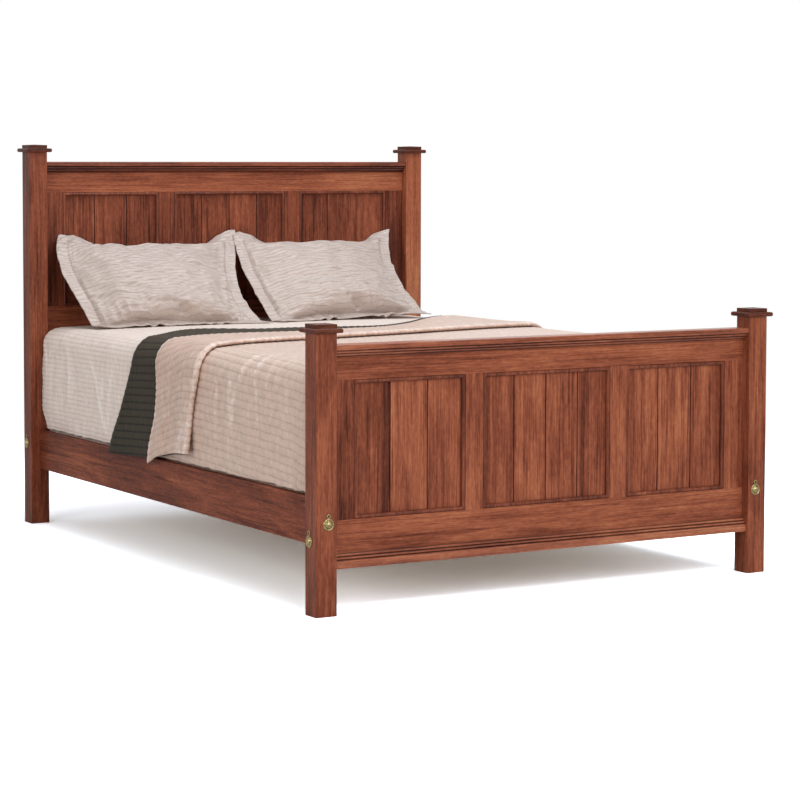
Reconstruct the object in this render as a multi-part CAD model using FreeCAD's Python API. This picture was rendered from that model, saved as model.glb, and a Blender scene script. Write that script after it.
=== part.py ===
import FreeCAD, Part
import math
import os

# Panel bed for a queen mattress, made up with its bedding.
# Four square posts carry a panelled headboard and a panelled footboard. Side rails hook the
# two together with bed bolts, whose heads sit in counterbores behind swinging brass covers.
# Frame: +X to the right seen from the foot, +Y towards the headboard, +Z up. The origin is on
# the floor under the middle of the bed. Everything is in millimetres.

vec = FreeCAD.Vector
axis_x = vec(1, 0, 0)
axis_y = vec(0, 1, 0)
axis_z = vec(0, 0, 1)

# ---- driving dimensions ----
bed_width = 1676.0            # outer faces of the posts, across the bed
bed_length = 2260.0           # outer faces of the posts, along the bed
post_size = 70.0              # square section of every post
head_post_height = 1371.0     # floor to the underside of the cap
foot_post_height = 841.0
post_edge_radius = 2.5

collar_overhang = 13.5        # cap collar past the post, all round
collar_height = 14.0
collar_edge_radius = 5.0
plinth_height = 12.0
peak_height = 2.0             # low pyramid on the plinth
spigot_radius = 12.0
spigot_length = 22.0

frame_setback = 33.0          # front of a post to the face of the frame behind it
frame_thickness = 22.0
stile_width = 75.5
mullion_width = 63.0
centre_opening = 476.0        # width of the middle panel's opening
panel_groove_depth = 8.0
panel_recess = 10.0           # frame face to plank face
plank_thickness = 10.0
side_planks = 3               # planks in an outer panel
centre_planks = 4             # planks in the middle panel
plank_gap = 0.6
plank_chamfer = 1.6
tongue_depth = 4.0
tongue_thickness = 3.2
bead_width = 12.0
bead_proud = 2.0              # bead past the frame face

foot_panel_bottom = 280.0
foot_panel_top = 698.5
foot_cap_top = 804.5
foot_rail_bottom = 137.5
head_panel_bottom = 801.0
head_panel_top = 1222.5
head_cap_top = 1336.0
head_middle_rail_height = 97.5
head_bottom_rail_centre = 296.0
bottom_rail_height = 142.5    # also the side rails' height
frame_tenon_length = 20.0
frame_tenon_thickness = 12.0
tenon_shoulder = 12.0

cap_height = 41.5             # cap moulding, its beads included
cap_board_height = 18.0
cap_setback = 5.0             # front of the post to the cap's nose
cap_depth = 60.0
bead_height = 8.5             # each of the two beads under the cap board
bead_step = 8.0               # how far each bead stands behind the one above
groove_depth = 1.5            # quirk between the beads
nose_radius = 4.0

base_height = 43.5            # base moulding on the footboard's bottom rail
base_setback = 12.0
base_fascia_height = 25.5
base_bead_height = 8.5
base_step = 6.0

side_rail_bottom = 203.5
side_rail_setback = 33.0      # outer face of the post to the outer face of the rail
side_rail_thickness = 26.0
side_tenon_length = 14.0
side_tenon_thickness = 14.0
rail_edge_radius = 3.0

cleat_bottom = 215.0
cleat_height = 30.0
cleat_thickness = 20.0
cleat_end_gap = 60.0          # cleat's end to the post
slat_count = 7
slat_width = 90.0
slat_thickness = 19.0
slat_end_gap = 4.0            # slat's end to the side rail
slat_first = 150.0            # middle of the end slats to the posts
beam_width = 40.0
beam_height = 60.0
beam_end_gap = 95.0           # beam's end to the posts
beam_foot_size = 45.0
beam_foot_reach = 250.0       # feet, either way from the bed's middle
beam_spigot_radius = 9.0
beam_spigot_length = 25.0

bolt_inset = 41.0             # side rail bolt, from the post's outer face
foot_bolt_height = 222.5      # bolt into the footboard's bottom rail
bolt_radius = 4.75
bolt_reach = 75.0             # bolt past the post, into the rail
bolt_head_radius = 8.0        # hexagon's corner radius
bolt_head_height = 6.0
washer_radius = 11.0
washer_height = 1.6
counterbore_radius = 12.0
counterbore_depth = 12.0
nut_radius = 8.0
nut_setback = 20.0            # nut's axis back from the bolt's end
nut_end_wall = 2.5            # wood left in front of the nut's hole

cover_radius = 18.0
cover_thickness = 1.4
cover_rim_width = 4.5
cover_rim_height = 2.8        # top of the rounded rim above the disc's back
cover_boss_radius = 12.0
cover_boss_height = 8.5       # top of the domed boss above the disc's back
cover_drop = 25.0             # ring's centre above the disc's centre
ring_radius = 7.0
ring_thickness = 2.0
ring_rounding = 0.6
neck_width = 7.0
nail_radius = 2.0
nail_depth = 16.0
nail_head_radius = 3.3
nail_head_height = 1.5

screw_radius = 2.1
screw_length = 32.0
screw_head_radius = 4.2
cleat_screws = 7

mattress_foot_gap = 75.0      # foot posts to the bedding's foot
mattress_head_gap = 3.0       # head posts to the bedding's head
foundation_height = 215.0
foundation_half_width = 760.0
foundation_corner = 40.0
bedding_half_width = 788.0    # blanket's outer face at the side
bedding_top = 740.0           # blanket's top, at the middle
bedding_crown = 10.0
shoulder_radius = 75.0
side_swell = 3.0
tuck_half_width = 768.5       # blanket where it passes between rail and foundation
tuck_bottom = 300.0
tuck_slope = 16.0             # height of the turn-in above the rail
fold_depth = 2.0              # soft upright folds in the hanging sides
fold_pitch = 330.0
blanket_thickness = 6.0
quilt_thickness = 8.4
quilt_tuck_step = 6.0         # quilt's lower edge above the blanket's
quilt_setback = 25.0          # quilt's head edge under the throw's
throw_thickness = 10.0        # two layers of quilted cloth
roll_thickness = 20.0         # puffed fold along the throw's foot side
roll_width = 55.0
throw_foot_left = -290.0      # y of the roll's edge over the left rail
throw_head_left = 330.0
throw_skew = 420.0            # how much nearer the head the right side lies
throw_hem = 336.0             # height of the hanging ends

sham_thickness = 5.0          # flat flange
sham_flange = 45.0
pillow_front_swell = 88.0
pillow_back_swell = 66.0
pillow_slant = 452.0          # up the slope, flange corner to flange corner
pillow_edge_dip = 40.0        # how far the middle of an edge is drawn in between its corners
pillow_lean = 44.0            # degrees from flat
left_pillow_edges = (-707.0, 9.0)
right_pillow_edges = (17.0, 702.0)
pillow_sections = (0.0, 0.35, 0.62, 0.82, 0.94)

joint_gap = 0.3               # tenons, studs and spigots in their holes
running_gap = 0.2             # cover off the post, ring off the nail's head
swing_gap = 0.1               # ring round its nail
soft_gap = 0.6                # cloth off what it lies on

# ---- places worked out from them ----
half_width = bed_width / 2
half_length = bed_length / 2
post_inner_x = half_width - post_size
post_inner_y = half_length - post_size
foot_face = -half_length + frame_setback
head_face = post_inner_y + frame_setback
foot_front = -half_length
head_front = post_inner_y
side_rail_outer = half_width - side_rail_setback
side_rail_inner = side_rail_outer - side_rail_thickness
side_rail_top = side_rail_bottom + bottom_rail_height
side_bolt_x = half_width - bolt_inset
side_bolt_z = side_rail_bottom + bottom_rail_height / 2
head_rail_bottom = head_bottom_rail_centre - bottom_rail_height / 2
opening_inner = centre_opening / 2
opening_outer = post_inner_x - stile_width
mullion_outer = opening_inner + mullion_width
cleat_top = cleat_bottom + cleat_height
slat_top = cleat_top + slat_thickness
bedding_foot = -post_inner_y + mattress_foot_gap
bedding_head = post_inner_y - mattress_head_gap
mattress_bottom = slat_top + joint_gap + foundation_height + joint_gap
nail_head_start = running_gap + ring_thickness + running_gap
top_rail_foot = foot_cap_top - cap_height
top_rail_head = head_cap_top - cap_height

os.makedirs("parts", exist_ok=True)


# ---- small helpers ----
def save(node, *shapes):
    """Write one node, with as many solids as it has pieces."""
    solids = [solid for shape in shapes for solid in shape.Solids]
    shape = solids[0] if len(solids) == 1 else Part.makeCompound(solids)
    shape.exportStep(f"parts/{node}.step")
    print(f"{node}: {len(solids)} solid(s), {shape.Volume / 1000.0:.1f} cm3, valid {shape.isValid()}")


def block(x0, x1, y0, y1, z0, z1):
    """Box between two corners."""
    low = vec(min(x0, x1), min(y0, y1), min(z0, z1))
    return Part.makeBox(abs(x1 - x0), abs(y1 - y0), abs(z1 - z0), low)


def rod(radius, start, direction, length):
    """Round bar from a point along a direction."""
    return Part.makeCylinder(radius, length, start, direction)


def ease(shape, radius, direction):
    """Round the edges that run along a direction."""
    edges = [edge for edge in shape.Edges
             if len(edge.Vertexes) == 2
             and abs((edge.Vertexes[1].Point - edge.Vertexes[0].Point).normalize().dot(direction)) > 0.999]
    return shape.makeFillet(radius, edges)


def outline(start, *steps):
    """Closed wire from a point through lines (one point) and arcs (middle point, end point)."""
    edges = []
    here = start
    for step in steps:
        if len(step) == 1:
            edges.append(Part.makeLine(here, step[0]))
        else:
            edges.append(Part.Arc(here, step[0], step[1]).toShape())
        here = step[-1]
    edges.append(Part.makeLine(here, start))
    return Part.Wire(edges)


def bar_along_x(points_yz, x0, x1):
    """Moulding of one profile; the profile's steps are given as (y, z) points."""
    start, steps = points_yz
    placed = [tuple(vec(x0, *point) for point in step) for step in steps]
    wire = outline(vec(x0, *start), *placed)
    return Part.Face(wire).extrude(vec(x1 - x0, 0, 0))


def mirror_x(shape):
    return shape.mirror(vec(0, 0, 0), axis_x)


# ---- posts and their caps ----
def frame_mid_y(face):
    return face + frame_thickness / 2


def tenon_zone(z0, z1):
    return z0 + tenon_shoulder, z1 - tenon_shoulder


def frame_mortise(face, z0, z1):
    """Slot in the right post for one cross rail's tenon."""
    low, high = tenon_zone(z0, z1)
    half = frame_tenon_thickness / 2 + joint_gap
    mid = frame_mid_y(face)
    return block(post_inner_x, post_inner_x + frame_tenon_length + joint_gap,
                 mid - half, mid + half, low - joint_gap, high + joint_gap)


def side_mortise(end):
    """Slot in the right post for the side rail's tenon; end is -1 foot, +1 head."""
    low, high = tenon_zone(side_rail_bottom, side_rail_top)
    half = side_tenon_thickness / 2 + joint_gap
    reach = side_tenon_length + joint_gap
    return block(side_bolt_x - half, side_bolt_x + half,
                 end * post_inner_y, end * (post_inner_y + reach), low - joint_gap, high + joint_gap)


def bolt_hole(face_point, inward, length):
    """Counterbore and clearance hole from a post's face."""
    bore = rod(bolt_radius + joint_gap, face_point, inward, length)
    return bore.fuse(rod(counterbore_radius, face_point, inward, counterbore_depth))


def nail_hole(bolt_point, inward):
    start = bolt_point + axis_z * cover_drop
    return rod(nail_radius + joint_gap / 2, start, inward, nail_depth + joint_gap)


def side_bolt_point(end):
    """Where the side rail's bolt enters the right post."""
    return vec(side_bolt_x, end * half_length, side_bolt_z)


def frame_bolt_point(face, height):
    """Where the bottom rail's bolt enters the right post."""
    return vec(half_width, frame_mid_y(face), height)


def post(end, height, face, rails, frame_bolt_z):
    """Right-hand post; rails lists the height range of each cross rail it takes."""
    x0, x1 = post_inner_x, half_width
    y0, y1 = sorted((end * post_inner_y, end * half_length))
    shaft = ease(block(x0, x1, y0, y1, 0, height), post_edge_radius, axis_z)
    for z0, z1 in rails:
        shaft = shaft.cut(frame_mortise(face, z0, z1))
    shaft = shaft.cut(side_mortise(end))
    into_y = axis_y * -end
    side_point = side_bolt_point(end)
    frame_point = frame_bolt_point(face, frame_bolt_z)
    for point, inward in ((side_point, into_y), (frame_point, -axis_x)):
        shaft = shaft.cut(bolt_hole(point, inward, post_size))
        shaft = shaft.cut(nail_hole(point, inward))
    middle = vec((x0 + x1) / 2, (y0 + y1) / 2, height - spigot_length - joint_gap)
    return shaft.cut(rod(spigot_radius + joint_gap, middle, axis_z, spigot_length + joint_gap))


def post_cap(end, height):
    """Right-hand cap: rounded collar, plinth with a low peak, and a spigot into the post."""
    mid_x = half_width - post_size / 2
    mid_y = end * (half_length - post_size / 2)
    wide = post_size / 2 + collar_overhang
    half = post_size / 2
    collar_top = height + collar_height
    plinth_top = collar_top + plinth_height
    collar = block(mid_x - wide, mid_x + wide, mid_y - wide, mid_y + wide, height, collar_top)
    long_edges = [edge for edge in collar.Edges if abs(edge.Vertexes[0].Z - edge.Vertexes[1].Z) < 1]
    collar = collar.makeFillet(collar_edge_radius, long_edges)
    plinth = block(mid_x - half, mid_x + half, mid_y - half, mid_y + half, collar_top, plinth_top)
    base = [vec(mid_x + sx * half, mid_y + sy * half, plinth_top) for sx, sy in ((-1, -1), (1, -1), (1, 1), (-1, 1))]
    tip = vec(mid_x, mid_y, plinth_top + peak_height)
    faces = [Part.Face(Part.makePolygon([base[i], base[(i + 1) % 4], tip, base[i]])) for i in range(4)]
    faces.append(Part.Face(Part.makePolygon(base + [base[0]])))
    peak = Part.makeSolid(Part.makeShell(faces))
    spigot = rod(spigot_radius, vec(mid_x, mid_y, height - spigot_length), axis_z, spigot_length)
    return collar.fuse([plinth, peak, spigot]).removeSplitter()


# ---- headboard and footboard frames ----
def cross_rail(face, z0, z1, groove_below=False, groove_above=False):
    """Rail between the posts, with a tenon at each end and a groove for the planks."""
    body = block(-post_inner_x, post_inner_x, face, face + frame_thickness, z0, z1)
    low, high = tenon_zone(z0, z1)
    half = frame_tenon_thickness / 2
    mid = frame_mid_y(face)
    reach = post_inner_x + frame_tenon_length
    rail = body.fuse(block(-reach, reach, mid - half, mid + half, low, high)).removeSplitter()
    if groove_below:
        rail = rail.cut(panel_groove(face, z0, z0 + panel_groove_depth))
    if groove_above:
        rail = rail.cut(panel_groove(face, z1 - panel_groove_depth, z1))
    return rail


def groove_range(face):
    """Front and back of the groove that holds the planks."""
    front = face + panel_recess
    return front - joint_gap / 2, front + plank_thickness + joint_gap / 2


def panel_groove(face, z0, z1):
    front, back = groove_range(face)
    return block(-post_inner_x, post_inner_x, front, back, z0, z1)


def bolted_rail(rail, face, bolt_z):
    """Cut the bolt holes and the cross nut's holes in both ends of a bottom rail."""
    mid = frame_mid_y(face)
    reach = post_inner_x - bolt_reach
    for side in (-1, 1):
        start = vec(side * reach, mid, bolt_z)
        length = half_width - reach
        rail = rail.cut(rod(bolt_radius + joint_gap, start, axis_x * side, length))
        nut_x = side * (reach + nut_setback)
        nut_start = vec(nut_x, face + nut_end_wall - joint_gap, bolt_z)
        rail = rail.cut(rod(nut_radius + joint_gap, nut_start, axis_y, frame_thickness))
    return rail


def upright(face, x0, x1, z0, z1, left_groove, right_groove):
    """Stile or mullion, with stub tenons in the rails' grooves and grooves for the planks."""
    front, back = face + panel_recess, face + panel_recess + plank_thickness
    reach = panel_groove_depth - joint_gap
    body = block(x0, x1, face, face + frame_thickness, z0, z1)
    piece = body.fuse(block(x0, x1, front, back, z0 - reach, z1 + reach)).removeSplitter()
    g0, g1 = groove_range(face)
    low, high = z0 - panel_groove_depth, z1 + panel_groove_depth
    if left_groove:
        piece = piece.cut(block(x0, x0 + panel_groove_depth, g0, g1, low, high))
    if right_groove:
        piece = piece.cut(block(x1 - panel_groove_depth, x1, g0, g1, low, high))
    return piece


def plank(face, x0, x1, z0, z1, first, last):
    """One board of a panel: tongue on its right edge, groove in its left, front edges chamfered."""
    front = face + panel_recess
    back = front + plank_thickness
    mid = (front + back) / 2
    edge = panel_groove_depth - joint_gap
    left = x0 - edge if first else x0 + plank_gap / 2
    right = x1 + edge if last else x1 - plank_gap / 2
    low, high = z0 - edge, z1 + edge
    board = block(left, right, front, back, low, high)
    cut_size = plank_chamfer * math.sqrt(2)
    for x, is_end in ((left, first), (right, last)):
        if not is_end:
            wedge = block(-cut_size / 2, cut_size / 2, -cut_size / 2, cut_size / 2, low, high)
            wedge.rotate(vec(0, 0, 0), axis_z, 45)
            wedge.translate(vec(x, front, 0))
            board = board.cut(wedge)
    half = tongue_thickness / 2
    if not last:
        board = board.fuse(block(right, right + plank_gap + tongue_depth, mid - half, mid + half, low, high))
    if not first:
        slot = half + joint_gap / 2
        board = board.cut(block(left, left + tongue_depth + joint_gap, mid - slot, mid + slot, low, high))
    return board.removeSplitter()


def plank_panel(face, x0, x1, z0, z1, count):
    pitch = (x1 - x0) / count
    return [plank(face, x0 + i * pitch, x0 + (i + 1) * pitch, z0, z1, i == 0, i == count - 1)
            for i in range(count)]


def bead_strip(length):
    """Mitred bead along +X: outer edge at z 0, back at y 0, rounded front towards -Y."""
    depth = panel_recess + bead_proud
    nose = bead_width / 2
    profile = ((0, 0), [((-depth + nose, 0),),
                        ((-depth, nose), (-depth + nose, bead_width)),
                        ((0, bead_width),)])
    strip = bar_along_x(profile, 0, length)
    corners = [vec(0, -depth, 0), vec(length, -depth, 0),
               vec(length - bead_width, -depth, bead_width), vec(bead_width, -depth, bead_width)]
    mitre = Part.Face(Part.makePolygon(corners + [corners[0]])).extrude(vec(0, depth, 0))
    return strip.common(mitre)


def bead_frame(face, x0, x1, z0, z1):
    """Four mitred beads round one panel, lying on the planks."""
    wide = x1 - x0 - joint_gap
    tall = z1 - z0 - joint_gap
    middle = vec((x0 + x1) / 2, face + panel_recess, (z0 + z1) / 2)
    strips = []
    for turn, length, reach in ((0, wide, tall), (90, tall, wide), (180, wide, tall), (270, tall, wide)):
        strip = bead_strip(length)
        strip.translate(vec(-length / 2, 0, -reach / 2))
        strip.rotate(vec(0, 0, 0), axis_y, turn)
        strip.translate(middle)
        strips.append(strip)
    return strips


def cap_moulding(face, top):
    """Cap board with a rounded nose over two stepped beads and a cove."""
    nose = face - frame_setback + cap_setback
    back = nose + cap_depth
    under = top - cap_board_height
    rail_back = face + frame_thickness
    bottom = top - cap_height
    lip = nose + nose_radius
    first = nose + bead_step
    second = first + bead_step
    first_low = under - bead_height
    second_low = first_low - bead_height
    turn = nose_radius * (1 - math.sqrt(0.5))
    steps = [
        ((lip, top),),
        ((nose + turn, top - turn), (nose, top - nose_radius)),
        ((nose, under + nose_radius),),
        ((nose + turn, under + turn), (lip, under)),
        ((first + groove_depth, under),),
        ((first, under - bead_height / 2), (first + groove_depth, first_low)),
        ((second + groove_depth, first_low),),
        ((second, first_low - bead_height / 2), (second + groove_depth, second_low)),
        ((face - groove_depth, bottom),),
        ((rail_back, bottom),),
        ((rail_back, under - nose_radius),),
        ((rail_back + turn, under - turn), (rail_back + nose_radius, under)),
        ((back, under),),
        ((back, top - nose_radius),),
        ((back - turn, top - turn), (back - nose_radius, top)),
    ]
    return bar_along_x(((lip + nose_radius, top), steps), -post_inner_x, post_inner_x)


def base_moulding(face, bottom):
    """Plain fascia under two stepped beads, on the front of the footboard's bottom rail."""
    nose = face - frame_setback + base_setback
    fascia_top = bottom + base_fascia_height
    first = nose + base_step
    second = first + base_step
    first_top = fascia_top + base_bead_height
    top = bottom + base_height
    middle = (first_top + top) / 2
    steps = [
        ((nose, bottom),),
        ((nose, fascia_top),),
        ((first + groove_depth, fascia_top),),
        ((first, fascia_top + base_bead_height / 2), (first + groove_depth, first_top)),
        ((second + groove_depth, first_top),),
        ((second, middle), (second + groove_depth, top)),
        ((face, top),),
    ]
    return bar_along_x(((face, bottom), steps), -post_inner_x, post_inner_x)


# ---- side rails, cleats, slats and the centre support ----
def side_rail():
    """Right side rail with a tenon, a bolt hole and a cross nut's hole at each end."""
    body = ease(block(side_rail_inner, side_rail_outer, -post_inner_y, post_inner_y,
                      side_rail_bottom, side_rail_top), rail_edge_radius, axis_y)
    low, high = tenon_zone(side_rail_bottom, side_rail_top)
    half = side_tenon_thickness / 2
    reach = post_inner_y + side_tenon_length
    rail = body.fuse(block(side_bolt_x - half, side_bolt_x + half, -reach, reach, low, high)).removeSplitter()
    inner_end = post_inner_y - bolt_reach
    for end in (-1, 1):
        start = vec(side_bolt_x, end * inner_end, side_bolt_z)
        rail = rail.cut(rod(bolt_radius + joint_gap, start, axis_y * end, half_length - inner_end))
        nut_start = vec(side_rail_outer - nut_end_wall + joint_gap, end * (inner_end + nut_setback), side_bolt_z)
        rail = rail.cut(rod(nut_radius + joint_gap, nut_start, -axis_x, side_rail_thickness))
    for y, z in cleat_screw_places():
        rail = rail.cut(rod(screw_radius + joint_gap, vec(side_rail_inner - cleat_thickness, y, z),
                            axis_x, screw_length + joint_gap))
    return rail


def cleat_screw_places():
    """Places of the screws that hold a cleat, along the rail, clear of the slats' screws."""
    first = post_inner_y - cleat_end_gap - slat_width
    step = 2 * first / (cleat_screws - 1)
    return [(-first + i * step, cleat_bottom + cleat_height / 3) for i in range(cleat_screws)]


def slat_places():
    first = post_inner_y - slat_first
    step = 2 * first / (slat_count - 1)
    return [-first + i * step for i in range(slat_count)]


def slat_screw_x():
    return side_rail_inner - cleat_thickness / 2


def cleat():
    """Right cleat, on the inside of its rail."""
    reach = post_inner_y - cleat_end_gap
    inner = side_rail_inner - cleat_thickness
    strip = block(inner, side_rail_inner, -reach, reach, cleat_bottom, cleat_top)
    for y, z in cleat_screw_places():
        strip = strip.cut(screw_cutter(vec(inner, y, z), axis_x))
    for y in slat_places():
        strip = strip.cut(screw_cutter(vec(slat_screw_x(), y, slat_top), -axis_z))
    return strip


def slat(y):
    reach = side_rail_inner - slat_end_gap
    board = block(-reach, reach, y - slat_width / 2, y + slat_width / 2, cleat_top, slat_top)
    for side in (-1, 1):
        board = board.cut(screw_cutter(vec(side * slat_screw_x(), y, slat_top), -axis_z))
    return board


def centre_beam():
    reach = post_inner_y - beam_end_gap
    half = beam_width / 2
    beam = block(-half, half, -reach, reach, cleat_top - beam_height, cleat_top)
    for side in (-1, 1):
        start = vec(0, side * beam_foot_reach, cleat_top - beam_height)
        beam = beam.cut(rod(beam_spigot_radius + joint_gap, start, axis_z, beam_spigot_length + joint_gap))
    return beam


def beam_foot(y):
    half = beam_foot_size / 2
    top = cleat_top - beam_height
    foot = ease(block(-half, half, y - half, y + half, 0, top), post_edge_radius, axis_z)
    return foot.fuse(rod(beam_spigot_radius, vec(0, y, top), axis_z, beam_spigot_length)).removeSplitter()


# ---- fasteners ----
def screw(start, direction):
    """Countersunk wood screw, its head flush with the surface at start."""
    head_height = screw_head_radius - screw_radius
    head = Part.makeCone(screw_head_radius, screw_radius, head_height, start, direction)
    return head.fuse(rod(screw_radius, start, direction, screw_length)).removeSplitter()


def screw_cutter(start, direction):
    head_height = screw_head_radius - screw_radius
    wide = screw_head_radius + joint_gap
    head = Part.makeCone(wide, wide - head_height, head_height, start, direction)
    return head.fuse(rod(screw_radius + joint_gap, start, direction, screw_length + joint_gap))


def bed_bolt(face_point, inward):
    """Hexagon bolt with a washer at the bottom of the counterbore."""
    seat = face_point + inward * counterbore_depth
    length = post_size - counterbore_depth + bolt_reach - joint_gap
    shank = rod(bolt_radius, seat, inward, length)
    washer = rod(washer_radius, seat - inward * washer_height, inward, washer_height)
    side = axis_z
    other = inward.cross(side)
    base = seat - inward * washer_height
    corners = [base + (side * math.cos(a) + other * math.sin(a)) * bolt_head_radius
               for a in (math.radians(60 * i) for i in range(6))]
    head = Part.Face(Part.makePolygon(corners + [corners[0]])).extrude(inward * -bolt_head_height)
    return shank.fuse([washer, head]).removeSplitter()


def cross_nut(centre_line, start, direction, length, bolt_direction):
    """Round cross nut in the rail, with the bolt's hole across it."""
    body = rod(nut_radius, start, direction, length)
    hole_start = centre_line - bolt_direction * (2 * nut_radius)
    return body.cut(rod(bolt_radius + joint_gap / 2, hole_start, bolt_direction, 4 * nut_radius))


def side_bolt_set(end):
    point = side_bolt_point(end)
    inward = axis_y * -end
    nut_y = end * (post_inner_y - bolt_reach + nut_setback)
    start = vec(side_rail_outer - nut_end_wall, nut_y, side_bolt_z)
    length = side_rail_thickness - nut_end_wall
    nut = cross_nut(vec(side_bolt_x, nut_y, side_bolt_z), start, -axis_x, length, inward)
    return bed_bolt(point, inward), nut


def frame_bolt_set(face, height):
    point = frame_bolt_point(face, height)
    nut_x = post_inner_x - bolt_reach + nut_setback
    start = vec(nut_x, face + nut_end_wall, height)
    length = frame_thickness - nut_end_wall
    nut = cross_nut(vec(nut_x, frame_mid_y(face), height), start, axis_y, length, axis_x)
    return bed_bolt(point, -axis_x), nut


# ---- swinging bolt covers ----
def flat_cover():
    """Cover in its own frame: disc centre at the origin, back at y 0, front towards -Y."""
    valley = cover_radius - cover_rim_width
    crest = cover_radius - cover_rim_width / 2
    boss = cover_boss_radius
    thin = -cover_thickness
    rise = cover_boss_height - cover_thickness
    ball = (boss ** 2 + rise ** 2) / (2 * rise)
    half_angle = math.asin(boss / ball) / 2
    shoulder = (ball * math.sin(half_angle), -cover_boss_height + ball * (1 - math.cos(half_angle)))
    profile = outline(
        vec(0, 0, 0), (vec(cover_radius, 0, 0),), (vec(cover_radius, thin, 0),),
        (vec(crest, -cover_rim_height, 0), vec(valley, thin, 0)),
        (vec(boss, thin, 0),),
        (vec(*shoulder, 0), vec(0, -cover_boss_height, 0)))
    disc = Part.Face(profile).revolve(vec(0, 0, 0), axis_y, 360)
    eye_hole = nail_radius + swing_gap
    neck_top = cover_drop - (ring_radius + eye_hole) / 2
    neck = block(-neck_width / 2, neck_width / 2, thin, 0, crest, neck_top)
    return disc.fuse([eye(eye_hole), neck]).removeSplitter()


def eye(hole):
    """Ring that hangs on the nail, its outer edge rounded."""
    edge = ring_radius - ring_rounding
    profile = outline(
        vec(hole, 0, 0), (vec(edge, 0, 0),),
        (vec(ring_radius, -ring_thickness / 2, 0), vec(edge, -ring_thickness, 0)),
        (vec(hole, -ring_thickness, 0),))
    ring = Part.Face(profile).revolve(vec(0, 0, 0), axis_y, 360)
    ring.translate(axis_z * cover_drop)
    return ring


def flat_nail():
    """Dome-headed nail in the cover's frame."""
    middle = vec(0, nail_depth, cover_drop)
    shank = rod(nail_radius, middle, -axis_y, nail_depth + nail_head_start + running_gap)
    rise = (nail_head_radius ** 2 + nail_head_height ** 2) / (2 * nail_head_height)
    ball = Part.makeSphere(rise, vec(0, -nail_head_start - nail_head_height + rise, cover_drop))
    slab = rod(nail_head_radius, vec(0, -nail_head_start, cover_drop), -axis_y, nail_head_height)
    return shank.fuse(ball.common(slab)).removeSplitter()


def on_face(shape, bolt_point, turn, off):
    """Turn a piece from the foot's face about Z and set it off a post's face."""
    piece = shape.copy()
    piece.translate(vec(0, -off, 0))
    piece.rotate(vec(0, 0, 0), axis_z, turn)
    piece.translate(bolt_point)
    return piece


def cover_places():
    """Each cover's name, bolt point and turn about Z from the foot's face."""
    places = []
    for side, side_name in ((-1, "left"), (1, "right")):
        for end, end_name in ((-1, "foot"), (1, "head")):
            point = side_bolt_point(end)
            face, height = end_frames[end]
            flank = frame_bolt_point(face, height)
            rail_turn = 0 if end < 0 else 180
            places.append((f"cover_{end_name}_{side_name}_rail", vec(side * point.x, point.y, point.z), rail_turn))
            places.append((f"cover_{end_name}_{side_name}_side", vec(side * flank.x, flank.y, flank.z), side * 90))
    return places


# ---- bedding ----
def end_drop(distance, radius):
    """How far a rounded end falls back at a distance from its end."""
    if distance >= radius:
        return 0.0
    return radius - math.sqrt(radius ** 2 - (radius - distance) ** 2)


def bedding_wave(y):
    """Soft upright folds of the hanging sides."""
    return fold_depth * math.sin(2 * math.pi * y / fold_pitch)


def bedding_section(y, side, top, radius, lower):
    """Crowned top and round shoulders over two sides; lower lists (x, z) from the bottom up."""
    edge_top = top - bedding_crown
    shoulder_z = edge_top - radius
    bend = radius * math.sqrt(0.5)
    inner = side - radius
    middle = (lower[-1][1] + shoulder_z) / 2
    place = lambda x, z: vec(x, y, z)
    climb = [(place(-x, z),) for x, z in lower[1:]]
    descent = [(place(x, z),) for x, z in reversed(lower[:-1])]
    return outline(
        place(-lower[0][0], lower[0][1]), *climb,
        (place(-side - side_swell, middle), place(-side, shoulder_z)),
        (place(-inner - bend, shoulder_z + bend), place(-inner, edge_top)),
        (place(0, top), place(inner, edge_top)),
        (place(inner + bend, shoulder_z + bend), place(side, shoulder_z)),
        (place(side + side_swell, middle), place(lower[-1][0], lower[-1][1])),
        *descent)


def inner_stations():
    """Places along the bed between its rounded ends, close enough for the soft folds."""
    first = bedding_foot + shoulder_radius
    last = bedding_head - shoulder_radius
    count = math.ceil((last - first) / (fold_pitch / 4))
    step = (last - first) / count
    return [first + i * step for i in range(count + 1)]


def bedding_form(offset, low):
    """Solid inside the bedding's outer face, grown by an offset, down to a height."""
    radius = shoulder_radius + offset
    foot, head = bedding_foot - offset, bedding_head + offset
    near = [0.0, 0.06, 0.2, 0.45]
    stations = [foot + radius * part for part in near] + inner_stations()
    stations += [head - radius * part for part in reversed(near)]
    tuck_top = side_rail_top + joint_gap
    sections = []
    for y in stations:
        drop = end_drop(min(y - foot, head - y), radius)
        side = bedding_half_width + offset + bedding_wave(y) - drop
        turn_in = min(tuck_half_width + offset, side)
        lower = [(turn_in, low), (turn_in, tuck_top), (side, tuck_top + tuck_slope)]
        sections.append(bedding_section(y, side, bedding_top + offset - drop, radius, lower))
    return Part.makeLoft(sections, True, True)


def hang_form(offset, rail_gap, low):
    """As the bedding's form, but its sides hang outside the rails, down to a height."""
    radius = shoulder_radius + offset
    flare = side_rail_top + soft_gap
    sections = []
    for y in inner_stations():
        side = bedding_half_width + offset + bedding_wave(y)
        out = max(side_rail_outer + rail_gap, side)
        lower = [(out, low), (out, flare), (side, flare + tuck_slope)]
        sections.append(bedding_section(y, side, bedding_top + offset, radius, lower))
    return Part.makeLoft(sections, True, True)


def plan_band(foot_left, head_left):
    """Upright prism over a skewed strip across the bed; the y values are over the left rail."""
    reach = half_width
    slope = throw_skew / (2 * side_rail_outer)
    skew = slope * 2 * reach
    start = foot_left - slope * (reach - side_rail_outer)
    depth = head_left - foot_left
    corners = [vec(-reach, start, 0), vec(reach, start + skew, 0),
               vec(reach, start + skew + depth, 0), vec(-reach, start + depth, 0)]
    return Part.Face(Part.makePolygon(corners + [corners[0]])).extrude(axis_z * head_post_height)


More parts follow.
